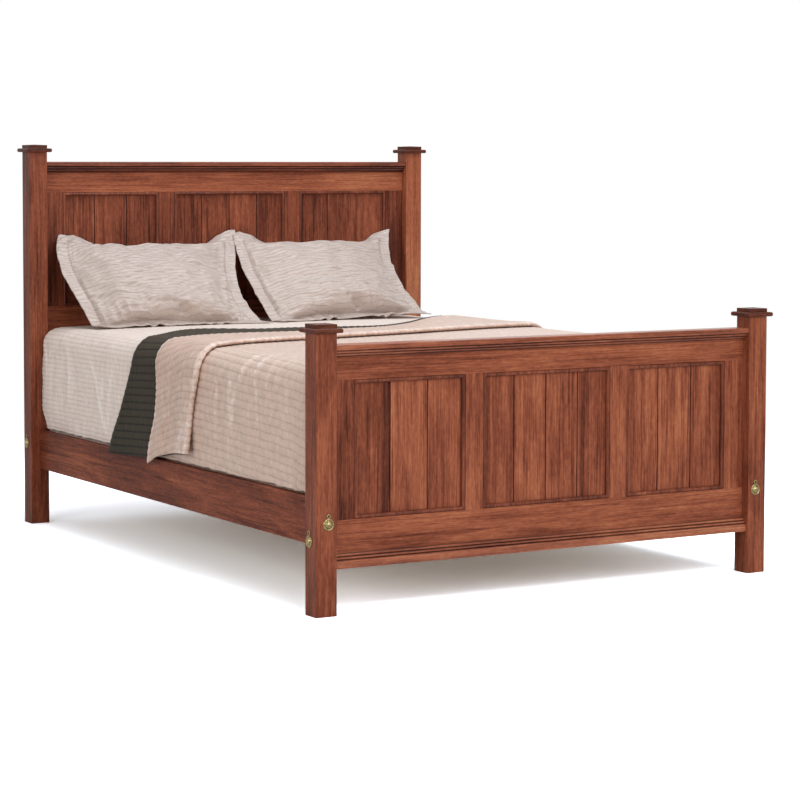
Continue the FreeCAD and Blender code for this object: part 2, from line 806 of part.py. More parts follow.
def blanket():
    return bedding_form(0, tuck_bottom).cut(bedding_form(-blanket_thickness, tuck_bottom - blanket_thickness))


def quilt():
    """Quilt over the foot end and the middle of the bed, tucked in inside the rails."""
    low = tuck_bottom + quilt_tuck_step
    shell = bedding_form(soft_gap + quilt_thickness, low).cut(bedding_form(soft_gap, tuck_bottom))
    return shell.common(plan_band(throw_foot_left - bed_length, throw_head_left - quilt_setback))


def throw():
    """Throw folded double across the bed, a puffed fold along its foot side, ends over the rails."""
    lift = soft_gap + quilt_thickness + soft_gap
    inside = hang_form(lift, soft_gap, throw_hem - throw_thickness)
    flat = hang_form(lift + throw_thickness, soft_gap + throw_thickness, throw_hem).cut(inside)
    puff = hang_form(lift + roll_thickness, soft_gap + roll_thickness, throw_hem).cut(inside)
    roll_edge = throw_foot_left + roll_width
    back = flat.common(plan_band(roll_edge, throw_head_left))
    roll = puff.common(plan_band(throw_foot_left, roll_edge))
    return back.fuse(roll).removeSplitter()


def pillow_section(x, width_share, crown_share):
    """Section of a pillow in its flanged sham; v runs up the slope, n is its thickness."""
    tip = pillow_slant / 2 - pillow_edge_dip * (1 - width_share ** 2)
    body = tip - sham_flange
    skin = sham_thickness / 2
    front = skin + pillow_front_swell * crown_share
    back = -skin - pillow_back_swell * crown_share
    place = lambda v, n: vec(x, v, n)
    return outline(
        place(-tip, -skin), (place(-tip, skin),), (place(-body, skin),),
        (place(0, front), place(body, skin)), (place(tip, skin),), (place(tip, -skin),),
        (place(body, -skin),), (place(0, back), place(-body, -skin)))


def pillow(edges):
    """Crowned pillow across two x values, leaning on the headboard with its foot on the blanket."""
    x0, x1 = edges
    middle, half = (x0 + x1) / 2, (x1 - x0) / 2
    body = half - sham_flange
    seam = 0.02
    right = [(middle + body * share, math.sqrt(1 - share ** 2)) for share in pillow_sections]
    right += [(middle + body, seam), (x1, seam)]
    left = [(2 * middle - x, crown) for x, crown in right[:0:-1]]
    sections = [pillow_section(x, abs(x - middle) / half, crown) for x, crown in left + right]
    form = Part.makeLoft(sections, True, True)
    form.rotate(vec(0, 0, 0), axis_x, pillow_lean)
    box = form.BoundBox
    # The top flange leans on the beads of the headboard, and the foot lies on the blanket.
    form.translate(vec(0, head_face - bead_proud - soft_gap - box.YMax, 0))
    seat = bedding_seat(edges)
    form.translate(vec(0, 0, seat + soft_gap - form.BoundBox.ZMin))
    return form


def bedding_seat(edges):
    """Height of the blanket's crown at the highest place under a pillow."""
    nearest = max(0.0, edges[0], -edges[1])
    span = bedding_half_width - shoulder_radius
    radius = (span ** 2 + bedding_crown ** 2) / (2 * bedding_crown)
    return bedding_top - (radius - math.sqrt(radius ** 2 - nearest ** 2))


def foundation():
    low = slat_top + joint_gap
    half = foundation_half_width
    form = block(-half, half, bedding_foot + shoulder_radius / 2, bedding_head - shoulder_radius / 2,
                 low, low + foundation_height)
    return ease(form, foundation_corner, axis_z)


def mattress():
    inside = -blanket_thickness - soft_gap
    lower = block(-half_width, half_width, -half_length, half_length, 0, mattress_bottom)
    return bedding_form(inside, mattress_bottom - blanket_thickness).cut(lower)


# ---- the bed ----
foot_rails = [(foot_rail_bottom, foot_rail_bottom + bottom_rail_height), (foot_panel_top, top_rail_foot)]
head_rails = [(head_rail_bottom, head_rail_bottom + bottom_rail_height),
              (head_panel_bottom - head_middle_rail_height, head_panel_bottom),
              (head_panel_top, top_rail_head)]
end_frames = {-1: (foot_face, foot_bolt_height), 1: (head_face, head_bottom_rail_centre)}

for end, name, height, rails in ((-1, "foot", foot_post_height, foot_rails), (1, "head", head_post_height, head_rails)):
    face, bolt_z = end_frames[end]
    right_post = post(end, height, face, rails, bolt_z)
    right_cap = post_cap(end, height)
    save(f"post_{name}_right", right_post)
    save(f"post_{name}_left", mirror_x(right_post))
    save(f"post_cap_{name}_right", right_cap)
    save(f"post_cap_{name}_left", mirror_x(right_cap))

foot_bottom, foot_top = foot_rails
head_bottom, head_middle, head_top = head_rails
save("foot_top_rail", cross_rail(foot_face, *foot_top, groove_below=True))
save("foot_bottom_rail", bolted_rail(cross_rail(foot_face, *foot_bottom, groove_above=True),
                                     foot_face, foot_bolt_height))
save("foot_base_moulding", base_moulding(foot_face, foot_rail_bottom))
save("foot_cap_moulding", cap_moulding(foot_face, foot_cap_top))
save("head_top_rail", cross_rail(head_face, *head_top, groove_below=True))
save("head_middle_rail", cross_rail(head_face, *head_middle, groove_above=True))
save("head_bottom_rail", bolted_rail(cross_rail(head_face, *head_bottom), head_face, head_bottom_rail_centre))
save("head_cap_moulding", cap_moulding(head_face, head_cap_top))

openings = (("left", -opening_outer, -mullion_outer, side_planks),
            ("centre", -opening_inner, opening_inner, centre_planks),
            ("right", mullion_outer, opening_outer, side_planks))
for name, face, z0, z1 in (("foot", foot_face, foot_panel_bottom, foot_panel_top),
                           ("head", head_face, head_panel_bottom, head_panel_top)):
    stile = upright(face, opening_outer, post_inner_x, z0, z1, True, False)
    mullion = upright(face, opening_inner, mullion_outer, z0, z1, True, True)
    save(f"{name}_stile_right", stile)
    save(f"{name}_stile_left", mirror_x(stile))
    save(f"{name}_mullions", mirror_x(mullion), mullion)
    for place, x0, x1, count in openings:
        save(f"{name}_planks_{place}", *plank_panel(face, x0, x1, z0, z1, count))
        save(f"{name}_beads_{place}", *bead_frame(face, x0, x1, z0, z1))

right_rail = side_rail()
save("side_rail_right", right_rail)
save("side_rail_left", mirror_x(right_rail))
save("slat_cleats", cleat(), mirror_x(cleat()))
save("slats", *[slat(y) for y in slat_places()])
save("centre_beam", centre_beam())
save("centre_feet", beam_foot(-beam_foot_reach), beam_foot(beam_foot_reach))

bolt_sets = [side_bolt_set(end) for end in (-1, 1)]
bolt_sets += [frame_bolt_set(*end_frames[end]) for end in (-1, 1)]
bolts = [bolt for bolt, nut in bolt_sets]
nuts = [nut for bolt, nut in bolt_sets]
save("bed_bolts", *bolts, *[mirror_x(bolt) for bolt in bolts])
save("bolt_nuts", *nuts, *[mirror_x(nut) for nut in nuts])
screws = [screw(vec(side_rail_inner - cleat_thickness, y, z), axis_x) for y, z in cleat_screw_places()]
screws += [screw(vec(slat_screw_x(), y, slat_top), -axis_z) for y in slat_places()]
save("wood_screws", *screws, *[mirror_x(piece) for piece in screws])

cover, nail = flat_cover(), flat_nail()
for name, point, turn in cover_places():
    save(name, on_face(cover, point, turn, running_gap))
save("cover_nails", *[on_face(nail, point, turn, 0) for name, point, turn in cover_places()])

save("foundation", foundation())
save("mattress", mattress())
save("blanket", blanket())
save("quilt", quilt())
save("throw", throw())
save("pillow_left", pillow(left_pillow_edges))
save("pillow_right", pillow(right_pillow_edges))
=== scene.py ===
import math
from functools import partial

import bpy
import numpy as np
from mathutils import Matrix, Vector


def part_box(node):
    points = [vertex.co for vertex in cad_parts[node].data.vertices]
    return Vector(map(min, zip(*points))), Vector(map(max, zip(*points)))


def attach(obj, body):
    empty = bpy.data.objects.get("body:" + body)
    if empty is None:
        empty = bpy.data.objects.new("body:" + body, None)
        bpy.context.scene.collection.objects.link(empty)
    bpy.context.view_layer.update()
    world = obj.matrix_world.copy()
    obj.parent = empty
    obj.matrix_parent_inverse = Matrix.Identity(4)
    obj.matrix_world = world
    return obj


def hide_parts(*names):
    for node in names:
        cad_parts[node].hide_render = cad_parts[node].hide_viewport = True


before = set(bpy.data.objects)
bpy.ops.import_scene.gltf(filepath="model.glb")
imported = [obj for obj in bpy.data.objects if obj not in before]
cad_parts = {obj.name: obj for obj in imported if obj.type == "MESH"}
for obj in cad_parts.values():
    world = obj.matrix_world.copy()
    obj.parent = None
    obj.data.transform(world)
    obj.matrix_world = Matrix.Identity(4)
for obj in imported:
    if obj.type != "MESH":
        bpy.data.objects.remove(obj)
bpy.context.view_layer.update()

mm = 0.001
print("bed frame loaded")


def hexToLinear(code):  # sRGB hex to the linear colour that a shader wants
    parts = [int(code[i:i + 2], 16) / 255 for i in (0, 2, 4)]
    return tuple(c / 12.92 if c <= 0.04045 else ((c + 0.055) / 1.055) ** 2.4 for c in parts) + (1.0,)


def addNode(tree, kind, inputs=(), stops=(), **settings):
    # One node with its settings, its values and links by name or in order, and a ramp's colours as
    # (position, hex) pairs. A node among the inputs stands for its first output.
    node = tree.nodes.new("ShaderNode" + kind)
    for name, value in settings.items():
        setattr(node, name, value)
    for name, value in inputs.items() if isinstance(inputs, dict) else enumerate(inputs):
        if isinstance(value, bpy.types.Node):
            value = value.outputs[0]
        if isinstance(value, bpy.types.NodeSocket):
            tree.links.new(value, node.inputs[name])
        else:
            node.inputs[name].default_value = value
    elements = node.color_ramp.elements if stops else ()
    while len(elements) < len(stops):
        elements.new(0.5)
    for element, (position, code) in zip(elements, stops):
        element.position = position
        element.color = hexToLinear(code)
    return node


def weighted(add, start, *parts):  # start plus each (pattern - middle) * weight, add is a tree's addNode
    total = start
    for pattern, middle, weight in parts:
        off = add("Math", (pattern, middle), operation="SUBTRACT")
        total = add("Math", (off, weight, total), operation="MULTIPLY_ADD")
    return total


def newMaterial(name):  # a material without nodes, and addNode for its tree
    material = bpy.data.materials.new(name)
    material.use_nodes = True
    material.node_tree.nodes.clear()
    return material, partial(addNode, material.node_tree)


def dress(node, material):  # give a solid of the frame its finish
    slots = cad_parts[node].data.materials
    if not slots:
        slots.append(material)
    for i in range(len(slots)):
        slots[i] = material


# Wood: stained and lacquered brown maple. The rubbed stain soaks in unevenly, so boards carry soft
# blotches, fine fibres, faint growth rings and a few dark mineral streaks, under a thin satin lacquer.
woodNoise = {  # size across and along the grain, detail, distortion, and where in the log it is taken
    "blotch": (60 * mm, 260 * mm, 4.0, 0.5, 0),
    "band": (8 * mm, 230 * mm, 3.0, 0.3, 5),
    "fibre": (1.8 * mm, 70 * mm, 2.0, 0.0, 9),  # real fibres are finer and drawn as coarse as they show
    "fleck": (4 * mm, 12 * mm, 1.0, 0.0, 7),
    "vein": (3.2 * mm, 240 * mm, 2.0, 0.3, 17),
    "streak": (11 * mm, 230 * mm, 3.0, 0.6, 13),
    "wander": (70 * mm, 420 * mm, 2.0, 0.0, 3),  # how the rings waver
}
woodWeight = {  # how much each lightens the stain, or darkens it where the weight is below 0
    "blotch": 0.6, "band": 0.36, "fibre": 0.36, "ring": -0.035, "fleck": 0.22, "vein": -0.12,
    "joint": -0.5, "quirk": -0.4,
}
woodSettings = {
    "ringStep": 6 * mm,
    "ringWaver": 30 * mm,
    "pith": (0.012, 0.050),          # the log's middle, off the board's middle and behind its face
    "pithLean": (0.02, 0.045),       # how it runs out along the board, so that rings close as arcs
    "streakEdge": (0.58, 0.72),      # noise levels between which a streak or a vein sets in
    "veinEdge": (0.55, 0.65),
    "quirk": 3.2 * mm,               # how far the painted shade spreads on either side of a groove
    "joint": (0.9 * mm, 2.2 * mm),   # half widths of a joint's dark core and of its shadow
    "mineralWaver": (24 * mm, 30 * mm),  # how far bands and blotches push a mineral streak aside
    "mineralSoak": 1.3,              # how much wider and darker than its core the streak soaks in
    "relief": 0.15 * mm,
    "lacquerIor": 1.45,
}
brownMaple = [(0.08, "2c110c"), (0.30, "582a1c"), (0.46, "7b402c"), (0.62, "9a573c"), (0.84, "bc7c57")]
darkMaple = [(0.10, "1c0c09"), (0.38, "3c1d16"), (0.56, "5b2e21"), (0.85, "8e5438")]  # the caps' dark stain, deepened as painted shade for their shaded faces
sawnPine = [(0.15, "96703f"), (0.50, "c49c66"), (0.85, "dcbd8c")]  # bare wood, pale and dull


def boardPlaces(add, place, boards, seed):
    # Boards side by side across X. Each gets its own piece of the log, up to 30 mm aside, 2 m up and
    # 30 mm deeper, and its own tone, with a dark joint where two meet.
    split = add("SeparateXYZ", (place,)).outputs
    start, width = boards["start"], boards["width"]
    run = add("Math", (split["X"], start), operation="SUBTRACT")
    share = add("Math", (run, width), operation="DIVIDE")
    number = add("Math", (share,), operation="FLOOR")
    middle = add("Math", (number, width, start + width / 2), operation="MULTIPLY_ADD")
    local = add("Math", (split["X"], middle), operation="SUBTRACT")
    ticket = add("Math", (number, seed + 0.5), operation="ADD")
    drawn = add("TexWhiteNoise", {"W": ticket}, noise_dimensions="1D").outputs["Color"]
    lot = add("SeparateXYZ", (drawn,)).outputs
    low = add("Math", (local, 30 * mm), operation="SUBTRACT")
    aside = add("Math", (lot["X"], 60 * mm, low), operation="MULTIPLY_ADD")
    raised = add("Math", (lot["Y"], 2.0, split["Z"]), operation="MULTIPLY_ADD")
    face = add("Math", (split["Y"],), operation="ABSOLUTE")
    depth = add("Math", (lot["Z"], 30 * mm, face), operation="MULTIPLY_ADD")
    tone = 0.0
    for i, value in enumerate(boards["tones"]):
        own = add("Math", (number, float(i), 0.5), operation="COMPARE")
        tone = add("Math", (own, value, tone), operation="MULTIPLY_ADD")
    off = add("Math", (local,), operation="ABSOLUTE")
    edge = add("Math", (width / 2, off), operation="SUBTRACT")
    joint = add("MapRange", (edge, *woodSettings["joint"], 1.0, 0.0), interpolation_type="SMOOTHSTEP")
    return add("CombineXYZ", (aside, depth, raised)), tone, joint, split["X"]


def stainedWood(name, along, tones, seed, boards=None, streaks=0.3, roughness=0.38, tone=0.0, shine=0.13,
                quirks=()):
    # along is the grain's axis; the last argument gives the heights of the grooves along which painted shade
    # darkens the stain
    material, add = newMaterial(name)
    form, weight = woodSettings, woodWeight
    place = add("TexCoord").outputs["Object"]
    shade = joint = 0.0
    if boards:
        place, shade, joint, acrossX = boardPlaces(add, place, boards, seed)
    noise = {}
    for part, (across, length, detail, distortion, spot) in woodNoise.items():
        spot += seed
        scale = [across / length if axis == along else 1.0 for axis in "XYZ"]
        inputs = {"Vector": place, "Location": (spot, spot * 1.7, spot * 0.6), "Scale": scale}
        inputs = {"Vector": add("Mapping", inputs), "Scale": 0.6 / across, "Detail": detail,
                  "Roughness": 0.6, "Distortion": distortion}
        noise[part] = add("TexNoise", inputs)
    blotch, band, fibre = noise["blotch"], noise["band"], noise["fibre"]
    dark = add("MapRange", (noise["streak"], *form["streakEdge"]), interpolation_type="SMOOTHSTEP")
    vein = add("MapRange", (noise["vein"], *form["veinEdge"]), interpolation_type="SMOOTHSTEP")
    # Growth rings are cones round the pith: the distance from a leaning line, cut by the face.
    split = add("SeparateXYZ", (place,)).outputs
    spread = 0.0
    for axis, middle, lean in zip("XYZ".replace(along, ""), form["pith"], form["pithLean"]):
        line = add("Math", (split[along], lean, middle), operation="MULTIPLY_ADD")
        off = add("Math", (split[axis], line), operation="SUBTRACT")
        spread = add("Math", (off, off, spread), operation="MULTIPLY_ADD")
    radius = add("Math", (spread,), operation="SQRT")
    radius = add("Math", (noise["wander"], form["ringWaver"], radius), operation="MULTIPLY_ADD")
    ring = add("Math", (radius, form["ringStep"]), operation="DIVIDE")
    ring = add("Math", (ring,), operation="FRACT")
    total = weighted(add, 0.5 + tone, (blotch, 0.5, weight["blotch"]), (band, 0.5, weight["band"]),
                     (fibre, 0.5, weight["fibre"]), (ring, 0.5, weight["ring"]),
                     (noise["fleck"], 0.5, weight["fleck"]), (vein, 0.25, weight["vein"]),
                     (dark, 0.0, -streaks), (joint, 0.0, weight["joint"]), (shade, 0.0, 1.0))
    for middle, width, depth in boards["minerals"] if boards else ():
        ragged = weighted(add, 0.5, (blotch, 0.5, 1.4), (fibre, 0.5, 0.9))
        ragged = add("MapRange", (ragged, 0.2, 0.8), interpolation_type="SMOOTHSTEP")
        bandWaver, blotchWaver = form["mineralWaver"]
        off = weighted(add, acrossX, (middle, 0.0, -1.0), (band, 0.5, bandWaver), (blotch, 0.5, blotchWaver))
        off = add("Math", (off,), operation="ABSOLUTE")
        reach = width * form["mineralSoak"]
        core = add("MapRange", (off, 0.0, reach, 1.0, 0.0), interpolation_type="SMOOTHSTEP")
        soaked = add("Math", (ragged, core), operation="MULTIPLY")
        total = weighted(add, total, (soaked, 0.0, -depth * form["mineralSoak"]))
    # Painted shade: the stain is darkened along each moulding groove, where shade falls in it.
    for level in quirks:
        off = add("Math", (split["Z"], level), operation="SUBTRACT")
        off = add("Math", (off,), operation="ABSOLUTE")
        grooveShadeMask = add("MapRange", (off, 0.0, form["quirk"], 1.0, 0.0), interpolation_type="SMOOTHSTEP")
        total = weighted(add, total, (grooveShadeMask, 0.0, weight["quirk"]))
    shader = add("BsdfPrincipled", {
        "Base Color": add("ValToRGB", (total,), tones),
        "Roughness": weighted(add, roughness, (fibre, 0.5, 0.25), (blotch, 0.5, 0.1)),
        "Normal": add("Bump", {"Height": fibre, "Distance": form["relief"], "Strength": 0.5}),
        "IOR": form["lacquerIor"], "Specular IOR Level": shine})
    add("OutputMaterial", {"Surface": shader})
    return material


# Moulding grooves darkened with painted shade.
grooves = {"foot_cap_moulding": (18, 26.5, 35), "head_cap_moulding": (18, 26.5, 35),
           "foot_base_moulding": (0, 9.5, 18)}  # mm below the moulding's top
quirks = {node: [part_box(node)[1].z - drop * mm for drop in drops] for node, drops in grooves.items()}
rubbed = {"streaks": 0.1, "roughness": 0.3}  # small mouldings are rubbed smoother and shine more
railWood = stainedWood("Brown maple, cross rails", "X", brownMaple, 4.0, streaks=0.08, tone=0.03)
# The side rails' darker stain is partly darker wood and partly painted shade of faces turned from the light.
sideWood = stainedWood("Brown maple, side rails", "Y", brownMaple, 6.0, streaks=0.12, tone=-0.09, shine=0.07)
capWood = stainedWood("Brown maple, post caps", "X", darkMaple, 8.0)
beads = {"foot": (3.0, -0.12, 0.22), "head": (13.0, -0.16, 0.2)}  # seed, tone and shine; the head's darker tone is painted shade
mouldings = {  # seed and tone; the base moulding's lighter tone is a painted highlight on its beads
    "foot_cap_moulding": (2.0, 0.03),
    "head_cap_moulding": (10.0, -0.10),
    "foot_base_moulding": (5.0, 0.10),
}
panels = {  # where each panel's first board starts, and a board's width
    "left": {"start": -0.6925, "width": 0.1305},
    "centre": {"start": -0.238, "width": 0.119},
    "right": {"start": 0.301, "width": 0.1305},
}
panelBoards = {  # tone of each board from the left, darker on the headboard as painted shade, and mineral streaks as (x, half width, depth)
    "foot_left": {"seed": 12.0, "tones": (-0.09, -0.03, 0.0),
                  "minerals": ((-0.580, 16 * mm, 0.30), (-0.566, 6 * mm, 0.2))},
    "foot_centre": {"seed": 35.0, "tones": (-0.06, 0.0, -0.01, -0.05),
                    "minerals": ((-0.225, 20 * mm, 0.22), (-0.128, 8 * mm, 0.15), (0.102, 9 * mm, 0.2),
                                 (0.143, 16 * mm, 0.30))},
    "foot_right": {"seed": 59.0, "tones": (-0.01, 0.04, -0.04),
                   "minerals": ((0.33, 10 * mm, 0.12), (0.668, 12 * mm, 0.15))},
    "head_left": {"seed": 20.0, "tones": (-0.16, -0.14, -0.17), "minerals": ()},
    "head_centre": {"seed": 43.0, "tones": (-0.14, -0.13, -0.09, -0.15),
                    "minerals": ((-0.16, 12 * mm, 0.15),)},
    "head_right": {"seed": 67.0, "tones": (-0.16, -0.10, -0.13), "minerals": ((0.32, 14 * mm, 0.15),)},
}
uprightTones = {  # each board has its own tone; the headboard's stiles, mullions and left post are darker as painted shade
    "post_foot_left": -0.06, "post_foot_right": -0.01, "post_head_left": -0.13, "post_head_right": 0.10,
    "foot_stile_left": -0.12, "foot_stile_right": -0.01, "foot_mullions": 0.04,
    "head_stile_left": -0.15, "head_stile_right": -0.21, "head_mullions": -0.10,
}
for count, (node, tone) in enumerate(uprightTones.items()):
    name = "Brown maple, " + node.replace("_", " ")
    dress(node, stainedWood(name, "Z", brownMaple, 1.0 + 7 * count, streaks=0.14, tone=tone))
for node, (seed, tone) in mouldings.items():
    name = "Brown maple, " + node.replace("_", " ")
    dress(node, stainedWood(name, "X", brownMaple, seed, tone=tone, shine=0.3, quirks=quirks[node], **rubbed))
for end, (seed, tone, shine) in beads.items():
    name = f"Brown maple, {end} panel beads"
    beadWood = stainedWood(name, "Z", brownMaple, seed, tone=tone, shine=shine, **rubbed)
    for side in ("left", "right"):
        dress(f"post_cap_{end}_{side}", capWood)
        dress(f"side_rail_{side}", sideWood)
    for part in ("top_rail", "bottom_rail"):
        dress(f"{end}_{part}", railWood)
    for panel, span in panels.items():
        boards = panelBoards[f"{end}_{panel}"] | span
        name = f"Brown maple, {end} planks {panel}"
        planks = stainedWood(name, "Z", brownMaple, boards["seed"], boards, streaks=0.18, tone=0.035)
        dress(f"{end}_planks_{panel}", planks)
        dress(f"{end}_beads_{panel}", beadWood)
dress("head_middle_rail", railWood)
dress("slats", stainedWood("Sawn pine, slats", "X", sawnPine, 7.0, roughness=0.7))
longPine = stainedWood("Sawn pine, cleats and beam", "Y", sawnPine, 9.0, roughness=0.7)
for node in ("slat_cleats", "centre_beam", "centre_feet"):
    dress(node, longPine)
print("wood finished")


# Metal of the bolts and the swinging covers: cast or plated, dulled in soft patches.
metalSettings = {
    "patchEdge": (0.35, 0.62),  # noise levels between which the dull patch turns to bright metal
    "gleam": -0.4,              # how much smoother the bright metal is
    "relief": 0.2 * mm,
}


def wornMetal(name, light, dark, roughness, grain):  # grain is the patches' size
    material, add = newMaterial(name)
    place = add("TexCoord").outputs["Object"]
    patch = add("TexNoise", {"Vector": place, "Scale": 1 / grain, "Detail": 3.0, "Roughness": 0.6})
    low, high = metalSettings["patchEdge"]
    relief = {"Height": patch, "Distance": metalSettings["relief"], "Strength": 0.3}
    shader = add("BsdfPrincipled", {
        "Base Color": add("ValToRGB", (patch,), [(low, dark), (high, light)]),
        "Roughness": weighted(add, roughness, (patch, 0.5, metalSettings["gleam"])),
        "Normal": add("Bump", relief), "Metallic": 1.0})
    add("OutputMaterial", {"Surface": shader})
    return material


coverBrass = wornMetal("Cast brass, aged", "bba97a", "655634", 0.30, 4 * mm)  # dull gold with brown patches
nailBrass = wornMetal("Darkened brass nail", "4a3524", "2c1d14", 0.45, 2 * mm)  # dark brown aged brass, darkened partly as painted shade round the pin; faint glint
boltSteel = wornMetal("Zinc plated steel", "b9bcc0", "93979c", 0.38, 4 * mm)  # pale grey, half dull
for end in ("foot", "head"):
    for side in ("left", "right"):
        for face in ("rail", "side"):
            dress(f"cover_{end}_{side}_{face}", coverBrass)
dress("cover_nails", nailBrass)
for node in ("bed_bolts", "bolt_nuts", "wood_screws"):
    dress(node, boltSteel)
print("metal finished")


# The made-up bed's form, shared by everything that lies on the mattress.
bedForm = {
    "sideX": 0.788,      # outer face of the blanket at the side
    "footY": -0.985,
    "headY": 1.057,
    "edgeZ": 0.730,      # top of the blanket over the shoulder
    "crown": 0.010,      # how much higher it is at the middle
    "round": 0.075,      # radius of shoulders and corners
    "square": 6.0,       # the corners are squarer than round, pushed against the posts
    "postReach": (0.70, 1.0),  # where along the bed the shoulder turns squarer towards the head post
    "bulge": 0.012,      # how far the side swells out beside the head post
    "bulgeOver": 0.08,   # height in which it comes up
    "swell": 0.003,
    "outFrom": 0.3,      # turn, in radians, from which the side's swell and folds set in
    "turnZ": 0.3540,     # where the sides start to turn in over the rail
    "tuckX": 0.7685,
    "tuckZ": 0.3472,
    "hemZ": 0.300,
    "foldDepth": 0.002,  # soft upright folds, as in the solids
    "foldPitch": 0.330,
    "railX": 0.805,      # outer face of the side rails
    "offRail": 0.6 * mm,  # how far a hanging sheet stays off the rail's face
    "flare": (0.3512, 0.50),  # heights between which it comes out over the rail
}
quarter = bedForm["round"] * math.pi / 2
coreX = bedForm["sideX"] - bedForm["round"]
coreFoot, coreHead = bedForm["footY"] + bedForm["round"], bedForm["headY"] - bedForm["round"]
shoulderZ = bedForm["edgeZ"] - bedForm["round"]


def smooth(value, low, high):  # 0 below low, 1 above high, eased between
    t = np.clip((value - low) / (high - low), 0, 1)
    return t * t * (3 - 2 * t)


def ripple(u, v, length, seed, spread=math.pi, count=18):
    # Sum of sine waves, with directions up to spread from u, lengths near the given one and phases
    # drawn at random. About 1 high.
    rng = np.random.default_rng(seed)
    total = np.zeros(np.broadcast(u, v).shape)
    for _ in range(count):
        angle, stretch, phase = rng.uniform(-spread, spread) / 2, rng.uniform(0.6, 1.7), rng.uniform(0, 6.28)
        run = u * math.cos(angle) + v * math.sin(angle)
        total += np.sin(2 * math.pi * run / (length * stretch) + phase)
    return total / math.sqrt(count / 2)


def overBed(p, q, lift, outside=False):
    # Cloth point (p across, q along) laid on the bed. Inside the core rectangle it lies on the
    # crowned top. Past it, its distance to the core turns over a quarter round and then hangs. In a
    # corner the cloth is drawn in to a round, so the hem stays level.
    form = bedForm
    nearX, nearY = np.clip(p, -coreX, coreX), np.clip(q, coreFoot, coreHead)
    dx, dy = p - nearX, q - nearY
    far, near = np.maximum(abs(dx), abs(dy)), np.minimum(abs(dx), abs(dy))
    turn = math.pi / 4 * near / np.maximum(far, 1e-9)
    turn = np.where(abs(dx) >= abs(dy), turn, math.pi / 2 - turn)
    bend = np.minimum(far / form["round"], math.pi / 2)
    hang = np.maximum(far - quarter, 0)
    push = (np.cos(turn) ** form["square"] + np.sin(turn) ** form["square"]) ** (-1 / form["square"])
    ux = np.sign(dx) * np.cos(turn) * push
    uy = np.sign(dy) * np.sin(turn) * push
    atHead = smooth(q, *form["postReach"])
    full = 2 + atHead  # 2 is a round shoulder, 3 a squarer one
    fuller = (np.sin(bend) ** full + np.maximum(np.cos(bend), 0) ** full) ** (-1 / full)
    z = form["edgeZ"] + form["crown"] * (1 - (nearX / coreX) ** 2) - form["round"]
    z = z + (form["round"] + lift) * np.cos(bend) * fuller - hang
    share = np.clip((shoulderZ - z) / (shoulderZ - form["turnZ"]), 0, 1)
    out = form["swell"] * np.sin(math.pi * share)
    out = out + form["foldDepth"] * np.sin(2 * math.pi * nearY / form["foldPitch"]) * np.sin(bend)
    out = out + form["bulge"] * atHead * smooth(z, form["turnZ"], form["turnZ"] + form["bulgeOver"]) * abs(ux)
    if outside:
        out = out + (form["railX"] - form["sideX"] + form["offRail"]) * (1 - smooth(z, *form["flare"]))
    else:
        out = out + (form["tuckX"] - form["sideX"]) * (1 - smooth(z, form["tuckZ"], form["turnZ"])) * abs(ux)
    reach = (form["round"] + lift) * np.sin(bend) * fuller + out * smooth(bend, form["outFrom"], math.pi / 2)
    return np.stack([nearX + ux * reach, nearY + uy * reach, z], axis=-1)


def gridNormals(points):  # unit normals of a grid of points, from the steps along both ways
    normal = np.cross(np.gradient(points, axis=1), np.gradient(points, axis=0))
    return normal / np.maximum(np.linalg.norm(normal, axis=-1, keepdims=True), 1e-12)


def meshPiece(name, points, quads, cloth, materials):  # cloth is each point's flat place, kept as the UV map
    mesh = bpy.data.meshes.new(name)
    mesh.vertices.add(len(points))
    mesh.vertices.foreach_set("co", np.asarray(points, np.float32).ravel())
    mesh.loops.add(quads.size)
    mesh.loops.foreach_set("vertex_index", quads.ravel().astype(np.int32))
    mesh.polygons.add(len(quads))
    mesh.polygons.foreach_set("loop_start", np.arange(0, quads.size, 4, dtype=np.int32))
    mesh.polygons.foreach_set("loop_total", np.full(len(quads), 4, np.int32))
    mesh.update(calc_edges=True)
    uv = mesh.uv_layers.new(name="cloth")
    uv.data.foreach_set("uv", np.asarray(cloth, np.float32)[quads.ravel()].ravel())
    mesh.polygons.foreach_set("use_smooth", np.ones(len(mesh.polygons), bool))
    for material in materials:
        mesh.materials.append(material)
    piece = bpy.data.objects.new(name, mesh)
    bpy.context.scene.collection.objects.link(piece)
    return piece


def gridQuads(rows, cols, close=False):  # rows x columns of points joined by quads
    index = np.arange(rows * cols).reshape(rows, cols)
    if close:
        index = np.concatenate([index, index[:, :1]], axis=1)
    return np.stack([index[:-1, :-1], index[:-1, 1:], index[1:, 1:], index[1:, :-1]], axis=-1).reshape(-1, 4)


def gridPiece(name, points, cloth, materials, close=False):  # points and flat places are grids
    quads = gridQuads(*points.shape[:2], close)
    return meshPiece(name, points.reshape(-1, 3), quads, cloth.reshape(-1, 2), materials)


def channel(distance, pitch):
    # Height of a puffed channel: the size of a sine, 0 at the stitched lines and 1 between them,
    # raised to a power a little below 1, so that the channel is fuller.
    return np.abs(np.sin(math.pi * distance / pitch)) ** 0.8


# Quilted cotton sateen: a satin weave with a soft sheen, stitched in narrow channels. The thread
# puckers the cloth beside it; a fine dark line and a soft shade down each valley are painted shade
# of the stitching. The stitched lines run along the UV map's second axis. A point attribute paints
# a highlight on creases and shade in seams.
sateenSettings = {
    "stitch": 0.30,      # height in a channel, out of 1, up to which the painted dark line of the stitching's shade reaches
    "valley": 0.9,       # and the soft painted shade in the valley
    "wanderSize": 30 * mm,
    "cloudSize": 120 * mm,
    "weave": 1.2 * mm,   # real threads are finer and drawn as coarse as they show
    "puckerDepth": 2.2 * mm,
    "caught": 0.45,      # how much lighter a crease is painted as highlight, and how much darker a seam is painted as shade, for its depth
}


